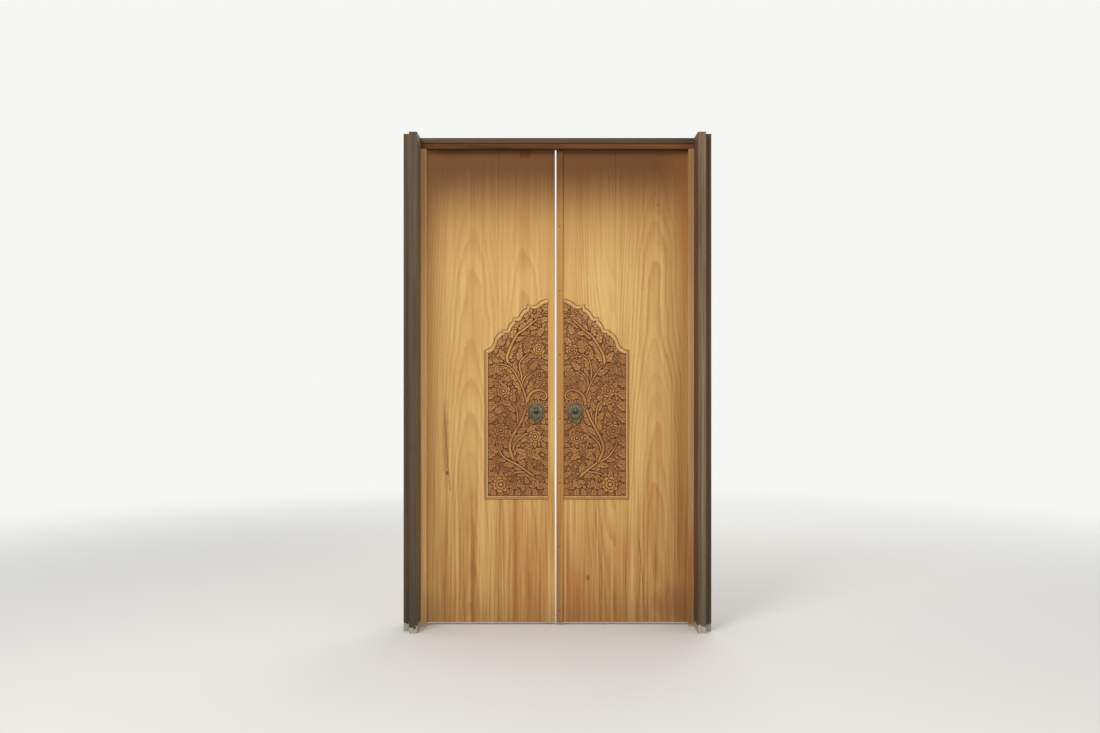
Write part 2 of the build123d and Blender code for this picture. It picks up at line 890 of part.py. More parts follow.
def make_bolt(name, foot, way):
    """A bolt: its plate with two lugs ends at foot, and its square bar slides along way."""
    plane = bolt_plane(foot, way)
    half = bolt_plate_width / 2
    with BuildPart() as plate:
        corners = rectangle(-bolt_plate_length, 0, -half, half)
        extrude(outline(plane, corners), amount=bolt_plate_thickness)
        for start in (-bolt_plate_length, -lug_length):
            extrude(lug_outline(plane, start, bolt_play), amount=lug_length)
    save(plate, f"{name}_plate")

    bar = rectangle(
        -bolt_plate_length - bolt_travel, bolt_tip, -bolt_bar / 2, bolt_bar / 2
    )
    knob_middle = -(bolt_plate_length + bolt_travel) / 2
    knob = rectangle(
        knob_middle - knob_size / 2, knob_middle + knob_size / 2, -knob_size / 2, knob_size / 2
    )
    with BuildPart() as rod:
        extrude(outline(plane.offset(bolt_axis_height - bolt_bar / 2), bar), amount=bolt_bar)
        extrude(outline(plane.offset(bolt_axis_height), knob), amount=bolt_bar / 2 + knob_length)
    save(rod, f"{name}_rod")


def make_keep(name, foot, way):
    """The keep that a bolt's bar enters: a lug on a small plate that starts at foot."""
    plane = bolt_plane(foot, way)
    half = bolt_plate_width / 2
    with BuildPart() as keep:
        plate = rectangle(0, lug_length + 2 * keep_plate_margin, -half, half)
        extrude(outline(plane, plate), amount=bolt_plate_thickness)
        extrude(lug_outline(plane, keep_plate_margin, keep_play), amount=lug_length)
    save(keep, name)


def make_bolts():
    """The upright bolts of the left leaf and the slide bolt that locks both leaves."""
    upright_x = leaf_edge("left") - upright_bolt_setback
    up, down, leftward = (0, 0, 1), (0, 0, -1), (-1, 0, 0)
    make_bolt("top_bolt", (upright_x, leaf_top - upright_plate_gap), up)
    make_bolt("bottom_bolt", (upright_x, floor_gap + upright_plate_gap), down)
    make_keep("top_bolt_keep", (upright_x, rebate_top), up)

    slide_x = leaf_edge("right") + slide_plate_setback
    make_bolt("middle_bolt", (slide_x, slide_bolt_height), leftward)
    keep_x = leaf_edge("left") - slide_keep_setback
    make_keep("middle_bolt_keep", (keep_x, slide_bolt_height), leftward)


make_head()
make_trim()
for side in SIDES:
    make_jamb(side)
    make_boards(side)
    make_panel(side)
    make_hinges(side)
    make_pull(side)
make_meeting_strip()
make_bolts()
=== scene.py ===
"""Looks of the carved double temple door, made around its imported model.

Metres, +Z up and -Y out of the carved front. The carving is marked out in millimetres, across
and up from the inner bottom corner of each panel, as a carver marks it on the wood. Colours are
linear.
"""

import math

import bmesh
import bpy
import numpy as np
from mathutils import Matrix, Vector


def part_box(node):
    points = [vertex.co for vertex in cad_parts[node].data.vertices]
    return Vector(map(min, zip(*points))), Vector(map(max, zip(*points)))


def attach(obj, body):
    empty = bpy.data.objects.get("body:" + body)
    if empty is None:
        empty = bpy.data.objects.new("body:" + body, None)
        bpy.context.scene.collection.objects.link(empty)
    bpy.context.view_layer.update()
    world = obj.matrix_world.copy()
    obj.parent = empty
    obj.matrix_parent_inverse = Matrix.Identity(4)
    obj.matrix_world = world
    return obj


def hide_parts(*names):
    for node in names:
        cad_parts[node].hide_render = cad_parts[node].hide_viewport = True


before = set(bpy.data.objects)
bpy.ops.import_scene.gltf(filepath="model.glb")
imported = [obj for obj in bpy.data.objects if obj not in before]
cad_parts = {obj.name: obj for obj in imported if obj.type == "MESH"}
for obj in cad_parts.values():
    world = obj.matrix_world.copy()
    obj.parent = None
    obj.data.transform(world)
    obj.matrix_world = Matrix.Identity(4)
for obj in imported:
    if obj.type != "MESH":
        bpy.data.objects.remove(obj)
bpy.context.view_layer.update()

bl_info = {
    "name": "Carved temple door",
    "version": (1, 0, 0),
    "blender": (4, 5, 0),
    "location": "View3D > Sidebar > Door",
    "description": "Finishes, carving, fittings and stage of a carved double door",
    "category": "Add Mesh",
}

SIDES = {"left": -1, "right": 1}
MM = 0.001
DOUBLE = 0.001 * MM

# Carved panels, in millimetres from the inner bottom corner of each
PANEL_HEIGHT = 1021.0
SHOULDER = 760.0
PANEL_WIDTH = {"left": 323.0, "right": 333.0}
INNER_EDGE = {"left": -47.0, "right": 33.0}
PANEL_FOOT = 637.0
GROUND_Y = 63.0
POCKET_Y = 72.9
CUSP_SLANT = 0.8
CUSPS = [
    [(0, 1021), (29, 1014), (53, 998), (77, 986), (107, 994)],
    [(110, 973), (130, 962), (145, 941), (160, 925), (180, 928)],
    [(178, 910), (193, 897), (204, 878), (215, 863), (232, 866)],
    [(234, 855), (261, 837), (276, 807), (291, 777), (322, 760)],
]

# Stems: route from root to tip, width at the root and at the tip, height
STEMS = {
    "left": [
        ([(142, 585), (134, 625), (144, 670), (138, 706), (92, 750)], 13, 8, 12),
        ([(128, 548), (127, 603), (92, 647), (64, 652)], 13, 8, 12),
        ([(152, 372), (156, 433), (164, 468), (198, 506)], 13, 8, 12),
        ([(179, 241), (169, 283), (117, 330), (84, 335)], 13, 8, 12),
        ([(186, 117), (161, 137), (103, 137), (73, 117)], 12, 8, 12),
        ([(66, 113), (146, 170), (224, 215), (259, 273), (259, 308)], 15, 8, 12),
        ([(177, 196), (193, 288), (127, 419), (115, 524), (185, 664), (268, 693)], 17, 8, 12),
        ([(202, 687), (206, 735), (161, 832), (121, 865), (45, 927)], 18, 9, 13),
        ([(108, 468), (103, 512), (82, 543), (50, 556), (22, 550), (7, 530), (13, 512), (28, 509),
          (34, 521), (25, 530)], 20, 8, 12),
    ],
    "right": [
        ([(136, 585), (141, 641), (127, 715), (77, 747)], 13, 8, 12),
        ([(124, 550), (121, 606), (87, 649), (63, 652)], 13, 8, 12),
        ([(162, 365), (165, 433), (173, 473), (204, 516)], 13, 8, 12),
        ([(191, 233), (183, 277), (137, 328), (107, 335)], 13, 8, 12),
        ([(81, 119), (105, 140), (181, 132), (214, 103)], 12, 8, 12),
        ([(74, 108), (148, 171), (225, 216), (265, 273), (265, 308)], 15, 8, 12),
        ([(175, 185), (200, 277), (128, 426), (113, 524), (181, 662), (259, 693)], 17, 8, 12),
        ([(207, 680), (201, 735), (148, 825), (105, 860), (35, 926)], 18, 9, 13),
        ([(110, 468), (105, 512), (83, 543), (50, 557), (22, 551), (7, 531), (13, 513), (28, 510),
          (34, 522), (25, 531)], 20, 8, 12),
    ],
}

# Flowers: centre, outer radius and number of petals
FLOWERS = {
    "left": [
        ((240, 75), 44, 9), ((66, 319), 34, 8), ((240, 353), 36, 7), ((227, 552), 36, 7),
        ((45, 763), 32, 7), ((43, 632), 28, 6), ((288, 728), 17, 5), ((89, 239), 24, 5),
    ],
    "right": [
        ((236, 75), 44, 9), ((67, 312), 34, 8), ((252, 348), 36, 7), ((224, 553), 36, 7),
        ((41, 761), 32, 7), ((32, 637), 28, 6), ((266, 712), 17, 5), ((99, 242), 24, 5),
    ],
}

# Sprays of leaves: root, middle direction and spread in degrees, count, length and width
SPRAYS = [
    ((46, 628), -92, 150, 6, 48, 20),
    ((48, 752), -100, 130, 5, 44, 19),
    ((99, 236), 90, 92, 5, 46, 22),
    ((95, 232), 182, 30, 2, 86, 34),
    ((103, 232), -4, 30, 2, 84, 34),
    ((112, 955), 62, 110, 4, 30, 17),
    ((186, 885), 60, 120, 4, 32, 17),
    ((60, 930), 200, 120, 4, 36, 18),
    ((24, 965), 150, 120, 4, 34, 17),
    ((58, 556), 95, 110, 6, 34, 15),
    ((236, 560), 20, 190, 6, 58, 24),
    ((228, 545), 215, 110, 4, 56, 23),
    ((250, 350), 10, 190, 6, 58, 24),
    ((236, 345), 200, 100, 4, 56, 23),
    ((66, 312), -90, 170, 7, 54, 21),
    ((238, 78), 90, 160, 7, 72, 26),
    ((236, 74), 185, 70, 3, 74, 26),
    ((262, 640), 90, 150, 5, 46, 21),
    ((150, 880), 30, 80, 3, 46, 22),
    ((240, 780), 60, 120, 4, 44, 21),
    ((120, 800), 200, 100, 4, 52, 22),
    ((215, 600), 100, 100, 4, 40, 20),
    ((150, 60), 80, 150, 6, 44, 20),
    ((60, 60), 100, 150, 5, 44, 20),
]

# Where the relief starts at the inner edge, ends in full height and ends under its border
INNER_START = 0.5
FIELD_INSET = 18.4
RELIEF_MARGIN = 14.0
BORDER_INSET = 20.0

# Small leaves and buds that fill the gaps: half their length and the number of tries
FILLERS = ((24.0, 300), (17.0, 500), (11.0, 900), (7.0, 1300), (4.5, 1500))

# Sections of the border: across from the outline, height above the ground, cove and groove mask.
# The cove mask lays painted shade on the cove; the groove mask lays painted shade with grime on the
# walls of the groove.
BORDER_START, BORDER_STEPS = 0.3, 24
CREST = [
    (0.3, -9.7, 0, 1), (0.3, 1.4, 0, 1), (2.4, 0.8, 0, 1), (3.2, 9.2, 0, 0.2), (4.6, 11.2, 0, 0),
    (8.0, 12.0, 0, 0), (12.0, 12.0, 0, 0), (15.4, 10.8, 0, 0), (17.4, 8.0, 0, 0.2),
    (18.2, 0.0, 0, 1), (18.2, -9.7, 0, 1),
]
COVE = [
    (0.3, -9.7, 0, 1), (0.3, 1.4, 0, 1), (2.2, 0.8, 0, 1), (2.8, 8.6, 1, 0.3), (5.0, 7.6, 1, 0),
    (9.0, 7.4, 1, 0), (11.6, 9.2, 1, 0), (12.6, 11.8, 0.1, 0), (17.0, 11.6, 0, 0),
    (18.2, 0.0, 0, 1), (18.2, -9.7, 0, 1),
]

# Ring pulls, in millimetres
PULL_X = {"left": -107.0, "right": 91.0}
PULL_Z = 1086.0
SEAT_Y = 57.0
SEAT_RADIUS = 46.0
PLATE_RADIUS = 43.0
PLATE_THICKNESS = 3.0
BOSS_RADIUS = 14.0
PETAL_REACH = 34.0
BEAD_RING_RADIUS = 40.6
BEAD_RING_DEPTH = 2.4
RING_RADIUS, WIRE_RADIUS = 28.5, 4.2
RING_Y, EYE_Z = 47.15, 1092.0

# Painted shadow under the eye of a pull and painted shade in the grooves of its plate, in metres
# from the eye
SHADE_DROP, SHADE_WIDTH, SHADE_HEIGHT = 9 * MM, 15 * MM, 10 * MM
PLATE_GROOVES = (14.5 * MM, 34.5 * MM)

# Light and dark wood of the jambs, the head and the meeting strip
JAMB_WOODS = ((0.66, 0.40, 0.165), (0.38, 0.185, 0.065))
# The head's wood is painted far darker than the jambs': painted shade under the ceiling.
SHADED_HEAD_WOODS = ((0.060, 0.023, 0.006), (0.026, 0.010, 0.003))
STRIP_WOODS = ((0.52, 0.27, 0.078), (0.32, 0.135, 0.036))

# Marks in the boards
RED_WOOD = (0.42, 0.165, 0.042)
KNOT_HEART = (0.085, 0.032, 0.012)
CRACK_DIRT = (0.12, 0.035, 0.012)
DARK_STREAK = (0.26, 0.085, 0.020)
SPLASH_DIRT = (0.16, 0.085, 0.04)
BOARD_MORTAR = (0.42, 0.39, 0.33)
LOW_BAND = (1.1, 0.2)
PORE_STRENGTH, PORE_SHADE = 0.35, 0.35
RING_RIPPLE = 7 * MM
CRACK_WOBBLE = 16 * MM

# Marks in the weathered posts, where their inner sides lie, and the tones of those inner sides:
# painted light on the left post's, painted shade on the right post's.
WEATHERED_RED = (0.145, 0.068, 0.032)
POST_DIRT = (0.05, 0.036, 0.024)
POST_MORTAR = (0.44, 0.41, 0.35)
POST_INNER_SIDE = 690 * MM
LEFT_INNER_LIT = (0.165, 0.118, 0.07)
RIGHT_INNER_SHADED = (0.10, 0.036, 0.011)

# Red-brown of the carving's flanks and ground, darker than its rubbed tops: painted shade that
# deepens with depth.
CARVED_FLANK = (0.28, 0.112, 0.034)
BARE_BRONZE = (0.30, 0.24, 0.13)
HINGE_IRON = (0.055, 0.05, 0.045)
BOLT_IRON = (0.075, 0.068, 0.06)
FASTENER_IRON = (0.06, 0.048, 0.038)

# Screws of the hinges: the flaps' faces, the row's setback and the steps between the screws
FLAP_FACE = {"frame": 678 * MM, "leaf": 675 * MM}
FLAP_SETBACK = 16 * MM
FLAP_STEPS = (-34 * MM, 0.0, 34 * MM)

# Screws of the bolts' plates: distance from the edge, face, and places along long and short ones
BACK_PLATE_EDGE = 6.5 * MM
BACK_PLATE_FACE = 2.6 * MM
LONG_BACK_PLATE = 100 * MM
LONG_SCREW_PLACES = (0.19, 0.5, 0.81)
SHORT_SCREW_PLACES = (0.1, 0.9)
NAIL_COUNT = 8
NAIL_RADIUS = 2.2 * MM
HEAD_SINK = 0.2 * MM

# Outlines of a head of unit radius: radius and height, from its shank up
DOMED_HEAD = [(1.0, -0.5), (1.0, 0.02), (0.9, 0.2), (0.62, 0.36), (0.3, 0.44)]
SLOTTED_HEAD = [(1.0, -0.5), (1.0, 0.05), (0.93, 0.16), (0.55, 0.22)]
HEAD_SIDES = 20
TO_FRONT = (math.pi / 2, 0.0, 0.0)
TO_BACK = (-math.pi / 2, 0.0, 0.0)

# Stage: lamps with place, aim, width and power, the floor, the sky and the camera
LAMPS = (
    ("key", (-1.9, -3.6, 4.3), (0, 0, 1.0), 1.8, 128.0),
    ("fill", (3.2, -4.6, 1.4), (0, 0, 1.1), 2.6, 45.0),
    ("back", (1.5, 4.5, 3.6), (0, 0, 1.2), 3.0, 90.0),
)
LAMP_COLOUR = (1.0, 0.97, 0.92)
FLOOR_REACH = 30.0
FLOOR_COLOUR = (0.78, 0.77, 0.74)
FLOOR_END = (7.0, 2.6)
SKY_LIGHT, SKY_STRENGTH = (0.95, 0.97, 1.0), 0.62
SKY_SEEN = (0.92, 0.92, 0.90)
CAMERA_PLACE = (-0.037, -5.381, 1.27)
CAMERA_LENS = 34.98
CAMERA_SHIFT = 8.5 / 1100


class DoorSettings(bpy.types.PropertyGroup):
    """Sizes and colours of the door's finish that a user would change."""

    board_light: bpy.props.FloatVectorProperty(
        name="Board, light", description="Early wood of the wide boards",
        subtype="COLOR", size=3, default=(0.695, 0.437, 0.158), min=0, max=1,
    )
    board_dark: bpy.props.FloatVectorProperty(
        name="Board, dark", description="Late wood and streaks of the wide boards",
        subtype="COLOR", size=3, default=(0.43, 0.205, 0.055), min=0, max=1,
    )
    carving_light: bpy.props.FloatVectorProperty(
        name="Carving, light", description="Rubbed tops of the carving",
        subtype="COLOR", size=3, default=(0.57, 0.262, 0.060), min=0, max=1,
    )
    # The carving's dark colour is grime together with painted shade, laid in its hollows and in the
    # grooves of its border.
    carving_dark: bpy.props.FloatVectorProperty(
        name="Carving, dark", description="Grime in the ground of the carving",
        subtype="COLOR", size=3, default=(0.06, 0.019, 0.005), min=0, max=1,
    )
    post_light: bpy.props.FloatVectorProperty(
        name="Post, light", description="Weathered grey of the posts and strips",
        subtype="COLOR", size=3, default=(0.155, 0.112, 0.068), min=0, max=1,
    )
    post_dark: bpy.props.FloatVectorProperty(
        name="Post, dark", description="Dark grain of the posts and strips",
        subtype="COLOR", size=3, default=(0.05, 0.030, 0.016), min=0, max=1,
    )
    patina: bpy.props.FloatVectorProperty(
        name="Patina", description="Grey-green patina of the ring pulls",
        subtype="COLOR", size=3, default=(0.150, 0.120, 0.058), min=0, max=1,
    )
    relief_pitch: bpy.props.FloatProperty(
        name="Relief pitch", description="Distance between the points of the carved relief",
        default=1.85 * MM, min=1.7 * MM, max=8 * MM, unit="LENGTH",
    )
    carving_seed: bpy.props.IntProperty(
        name="Carving seed", description="Seed of the small leaves that fill the carving",
        default=11, min=0,
    )
    nail_head: bpy.props.FloatProperty(
        name="Nail head", description="Radius of the nail heads on the meeting strip",
        default=3.4 * MM, min=1 * MM, max=8 * MM, unit="LENGTH",
    )
    screw_head: bpy.props.FloatProperty(
        name="Screw head", description="Radius of the screw heads in the ironwork",
        default=3.2 * MM, min=1 * MM, max=6 * MM, unit="LENGTH",
    )
    bead_count: bpy.props.IntProperty(
        name="Beads", description="Number of beads round each pull plate",
        default=28, min=8, max=60,
    )
    bead_radius: bpy.props.FloatProperty(
        name="Bead radius", description="Radius of the beads round each pull plate",
        default=3.1 * MM, min=1 * MM, max=6 * MM, unit="LENGTH",
    )


# Shader helpers


class Value:
    """A number or a vector from a node's socket, which takes part in plain sums."""

    def __init__(self, tree, socket):
        self.tree, self.socket = tree, socket

    def calc(self, operation, other=0.0, clamp=False):
        """The result of one sum."""
        made = add_node(
            self.tree, "ShaderNodeMath", {0: self, 1: other}, operation=operation, use_clamp=clamp
        )
        return Value(self.tree, made.outputs[0])

    def __add__(self, other):
        return self.calc("ADD", other)

    def __sub__(self, other):
        return self.calc("SUBTRACT", other)

    def __mul__(self, other):
        return self.calc("MULTIPLY", other)

    def __truediv__(self, other):
        return self.calc("DIVIDE", other)

    def unsigned(self):
        """The value without its sign."""
        return self.calc("ABSOLUTE")

    def larger(self, other):
        """The larger of two values."""
        return self.calc("MAXIMUM", other)

    def fade(self, start, end):
        """0 before start, 1 after end, smooth between."""
        made = add_node(
            self.tree,
            "ShaderNodeMapRange",
            {"Value": self, "From Min": start, "From Max": end},
            interpolation_type="SMOOTHSTEP",
        )
        return Value(self.tree, made.outputs["Result"])


def plug(tree, value, socket):
    """Link a value or a socket to an input, or set a plain value on it."""
    if isinstance(value, Value):
        value = value.socket
    if isinstance(value, bpy.types.NodeSocket):
        tree.links.new(value, socket)
    else:
        socket.default_value = value


def add_node(tree, kind, inputs=None, **settings):
    """A new node with its settings and inputs."""
    made = tree.nodes.new(kind)
    for name, value in settings.items():
        setattr(made, name, value)
    for socket, value in (inputs or {}).items():
        plug(tree, value, made.inputs[socket])
    return made


def opaque(colour):
    """A colour with full alpha."""
    return (*tuple(colour)[:3], 1.0)


def darker(colour, share):
    """A colour brought down to a share of its light, or up."""
    return [part * share for part in colour]


def tint(tree, colour, shade, mask, strength=1.0):
    """A colour with a shade laid over it through a mask."""
    made = add_node(tree, "ShaderNodeMix", data_type="RGBA")
    factor, _, _, _, _, _, first, second = list(made.inputs)[:8]
    plug(tree, mask if strength == 1.0 else mask * strength, factor)
    for value, socket in ((colour, first), (shade, second)):
        plug(tree, value if isinstance(value, Value) else opaque(value), socket)
    return Value(tree, made.outputs[2])


def noise(tree, vector, scale, detail=3.0, roughness=0.55):
    """A noise value over a vector."""
    inputs = {"Vector": vector, "Scale": scale, "Detail": detail, "Roughness": roughness}
    return Value(tree, add_node(tree, "ShaderNodeTexNoise", inputs).outputs["Fac"])


def stretched(tree, vector, scale, offset=None):
    """A vector scaled along each axis and moved."""
    for operation, by in (("MULTIPLY", scale), ("ADD", offset)):
        if by is not None:
            made = add_node(tree, "ShaderNodeVectorMath", {0: vector, 1: by}, operation=operation)
            vector = made.outputs[0]
    return vector


def streaky(tree, place, along, across, detail, roughness=0.55, shift=None):
    """Noise drawn out along the grain, which runs on Z."""
    drawn = stretched(tree, place, (across, across, along), shift)
    return noise(tree, drawn, 1.0, detail, roughness)


def axes_of(tree, place):
    """The three parts of a vector."""
    parts = add_node(tree, "ShaderNodeSeparateXYZ", {0: place}).outputs
    return [Value(tree, part) for part in parts]


def joined(tree, *parts):
    """A vector of up to three parts."""
    return add_node(tree, "ShaderNodeCombineXYZ", dict(enumerate(parts))).outputs[0]


def stored(tree, name):
    """A value that the mesh holds for each of its points."""
    return Value(tree, add_node(tree, "ShaderNodeAttribute", attribute_name=name).outputs["Fac"])


def new_group(name, sizes):
    """A shader group that takes a place and named sizes, and the values of these inputs."""
    tree = bpy.data.node_groups.new(name, "ShaderNodeTree")
    tree.interface.new_socket("Vector", in_out="INPUT", socket_type="NodeSocketVector")
    for label, default in sizes.items():
        socket = tree.interface.new_socket(label, in_out="INPUT", socket_type="NodeSocketFloat")
        socket.default_value = default
    entry = tree.nodes.new("NodeGroupInput").outputs
    return tree, {socket.name: Value(tree, socket) for socket in entry if socket.name}


def end_group(tree, results):
    """End a shader group in its named results."""
    for label in results:
        tree.interface.new_socket(label, in_out="OUTPUT", socket_type="NodeSocketFloat")
    leave = tree.nodes.new("NodeGroupOutput").inputs
    for label, value in results.items():
        plug(tree, value, leave[label])


def place_group(tree, name, place, sizes):
    """A group placed in a material with its own sizes, and the values that it puts out."""
    made = tree.nodes.new("ShaderNodeGroup")
    made.node_tree = bpy.data.node_groups[name]
    for label, value in {"Vector": place, **sizes}.items():
        plug(tree, value, made.inputs[label])
    return {socket.name: Value(tree, socket) for socket in made.outputs}


def build_grain_group():
    """Growth rings cut lengthwise, long streaks and short pores of a board."""
    tree, sizes = new_group("timber_grain", {
        "Seed": 0.0, "Pith X": 0.0, "Pith Depth": 0.05, "Lean": 0.02, "Ring Width": 0.009,
        "Waviness": 0.02, "Push": 0.0,
    })
    place, seed = sizes["Vector"], sizes["Seed"]
    shift = joined(tree, seed, seed, seed)
    x, _, z = axes_of(tree, place)
    sway = (streaky(tree, place, 1.5, 4.0, 2.0, shift=shift) - 0.5) * sizes["Waviness"]
    ripple = (streaky(tree, place, 4.5, 22.0, 3.0, shift=shift) - 0.5) * RING_RIPPLE
    across = x - sizes["Pith X"] + sway
    depth = sizes["Pith Depth"] + (z * sizes["Lean"] + sway)
    radius = (across * across + depth * depth).calc("SQRT") + (ripple + sizes["Push"])
    turns = radius / sizes["Ring Width"]
    phase = turns.calc("FRACT")
    uneven = noise(tree, joined(tree, turns, seed), 0.37, 2.0)
    end_group(tree, {
        "Rings": phase.fade(0.25, 0.86) * phase.fade(1.0, 0.88) * uneven.fade(0.3, 0.65),
        "Streaks": streaky(tree, place, 1.1, 75.0, 5.0, 0.62, shift),
        "Pores": streaky(tree, place, 26.0, 1150.0, 1.0, shift=shift).fade(0.62, 0.75),
        "Cloud": streaky(tree, place, 0.9, 13.0, 3.0, shift=shift),
    })


def build_knot_group():
    """A knot in a board: how far it pushes the rings apart, and its dark heart."""
    tree, sizes = new_group("board_knot", {"Knot X": 0.0, "Knot Z": 1.0, "Size": 0.02})
    x, _, z = axes_of(tree, sizes["Vector"])
    across = (x - sizes["Knot X"]) / sizes["Size"]
    up = (z - sizes["Knot Z"]) / sizes["Size"]
    wide, long = across * 0.8, up * 0.34
    hump = ((wide * wide + long * long) * -1.0).calc("EXPONENT")
    near = across * across + up * up * 0.45
    ragged = near + noise(tree, sizes["Vector"], 160.0)
    end_group(tree, {"Push": hump * (sizes["Size"] * 1.5), "Heart": ragged.fade(1.15, 0.55)})


def build_crack_group():
    """A thin ragged crack down a board, as a mask."""
    tree, sizes = new_group("board_crack", {
        "Top X": 0.0, "Slope": 0.0, "Bottom Z": 0.0, "Top Z": 1.0, "Width": 0.002,
    })
    x, _, z = axes_of(tree, sizes["Vector"])
    below = sizes["Top Z"] - z
    wobble = streaky(tree, sizes["Vector"], 14.0, 0.0, 4.0, 0.7)
    line = sizes["Top X"] + below * sizes["Slope"] + (wobble - 0.5) * CRACK_WOBBLE
    off = (x - line).unsigned()
    thin = sizes["Width"] * below.fade(0.0, 0.15)
    soft = ((off / thin) * -1.0).calc("ADD", 1.0, clamp=True)
    hit = off.calc("LESS_THAN", thin) * soft
    span = z.calc("GREATER_THAN", sizes["Bottom Z"]) * z.calc("LESS_THAN", sizes["Top Z"])
    end_group(tree, {"Mask": hit * span})


def build_foot_group():
    """Splashed dirt and pale mortar at the foot of upright timber, as masks."""
    tree, sizes = new_group("splashed_foot", {"Dirt Height": 0.3, "Mortar Height": 0.03})
    place = sizes["Vector"]
    _, _, z = axes_of(tree, place)
    dirty = sizes["Dirt Height"] * (noise(tree, place, 22.0, 4.0, 0.65) + 0.4)
    edge = sizes["Mortar Height"] * (noise(tree, place, 48.0, 3.0, 0.6) * 2.0)
    end_group(tree, {
        "Dirt": (z / dirty).fade(1.1, 0.1), "Mortar": (z - edge).fade(0.002, -0.004),
    })


# Materials


def new_material(name):
    """A material with its tree, its shader and its object coordinates."""
    material = bpy.data.materials.new(name)
    material.use_nodes = True
    tree = material.node_tree
    place = tree.nodes.new("ShaderNodeTexCoord").outputs["Object"]
    return material, tree, tree.nodes["Principled BSDF"], place


def finish(tree, shader, sheen, inputs):
    """Set how much a shader mirrors, and its inputs."""
    shader.inputs["Specular IOR Level"].default_value = sheen
    for label, value in inputs.items():
        plug(tree, value, shader.inputs[label])


def bump(tree, shader, height, strength, distance):
    """Bump on a shader from a height."""
    made = add_node(
        tree, "ShaderNodeBump", {"Strength": strength, "Distance": distance, "Height": height}
    )
    plug(tree, made.outputs[0], shader.inputs["Normal"])


def board_grain(tree, place, seed, pith, lean, ring, waviness=0.02, push=0.0, across=False):
    """The grain of a board, turned where the timber lies across the door."""
    if across:
        x, y, z = axes_of(tree, place)
        place = joined(tree, z, y, x)
    return place_group(tree, "timber_grain", place, {
        "Seed": seed, "Pith X": pith[0], "Pith Depth": pith[1], "Lean": lean,
        "Ring Width": ring, "Waviness": waviness, "Push": push,
    })


def timber(name, light, dark, seed, pith=(0.0, 0.05), lean=0.02, ring=0.009, waviness=0.02,
           knots=(), cracks=(), stains=(), tones=(), foot=(0.25, 0.0), rough=0.5, across=False):
    """A board's material: rings, streaks, pores, knots, cracks, stains, broad tones (some of them
    painted shade) and a dirty foot.
    """
    material, tree, shader, place = new_material(name)
    axes = axes_of(tree, place)
    x, _, z = axes
    push, hearts, gaps = 0.0, 0.0, 0.0
    for knot_x, knot_z, size in knots:
        knot = place_group(
            tree, "board_knot", place, {"Knot X": knot_x, "Knot Z": knot_z, "Size": size}
        )
        push = knot["Push"] + push
        hearts = knot["Heart"].larger(hearts)
    for top_x, slope, bottom, top, width in cracks:
        crack = place_group(tree, "board_crack", place, {
            "Top X": top_x, "Slope": slope, "Bottom Z": bottom, "Top Z": top, "Width": width,
        })
        gaps = crack["Mask"].larger(gaps)
    grain = board_grain(tree, place, seed, pith, lean, ring, waviness, push, across)
    streaks = grain["Streaks"]
    low = z.fade(*LOW_BAND)
    factor = (grain["Rings"] * 0.5).calc(
        "ADD", streaks.fade(0.36, 0.68) * (low * 0.38 + 0.32), clamp=True
    )
    pore = grain["Pores"] * PORE_STRENGTH
    colour = tint(tree, light, dark, factor)
    colour = tint(tree, colour, RED_WOOD, grain["Cloud"].fade(0.4, 0.68) * (low * 0.4 + 0.3))
    colour = tint(tree, colour, darker(dark, PORE_SHADE), pore)
    if knots:
        colour = tint(tree, colour, KNOT_HEART, hearts, 0.85)
    if cracks:
        colour = tint(tree, colour, CRACK_DIRT, gaps, 0.85)
    for stain_x, stain_z, wide, high, stain, strength in stains:
        off, up = (x - stain_x) / wide, (z - stain_z) / high
        blotch = off * off + up * up + noise(tree, place, 18.0, 4.0) * 1.1
        colour = tint(tree, colour, stain, blotch.fade(1.6, 0.5), strength)
    uneven = (streaks - 0.5) * 0.35
    for axis, start, end, shade, strength in tones:
        edge = axes[axis] + uneven * abs(end - start)
        colour = tint(tree, colour, shade, edge.fade(start, end), strength)
    colour = tint(tree, colour, DARK_STREAK, streaks.fade(0.5, 0.66) * low, 0.5)
    colour = tint(tree, colour, light, streaks.fade(0.46, 0.34) * low, 0.5)
    dirt_height, mortar_height = foot
    splash = place_group(tree, "splashed_foot", place, {
        "Dirt Height": dirt_height, "Mortar Height": max(mortar_height, 1 * MM),
    })
    colour = tint(tree, colour, SPLASH_DIRT, splash["Dirt"], 0.32)
    if mortar_height:
        colour = tint(tree, colour, BOARD_MORTAR, splash["Mortar"], 0.8)
    finish(tree, shader, 0.2, {"Base Color": colour, "Roughness": factor * 0.16 + rough})
    relief = factor * -0.5 - pore
    if cracks:
        relief = relief - gaps * 3.0
    bump(tree, shader, relief, 0.35, 0.6 * MM)
    return material


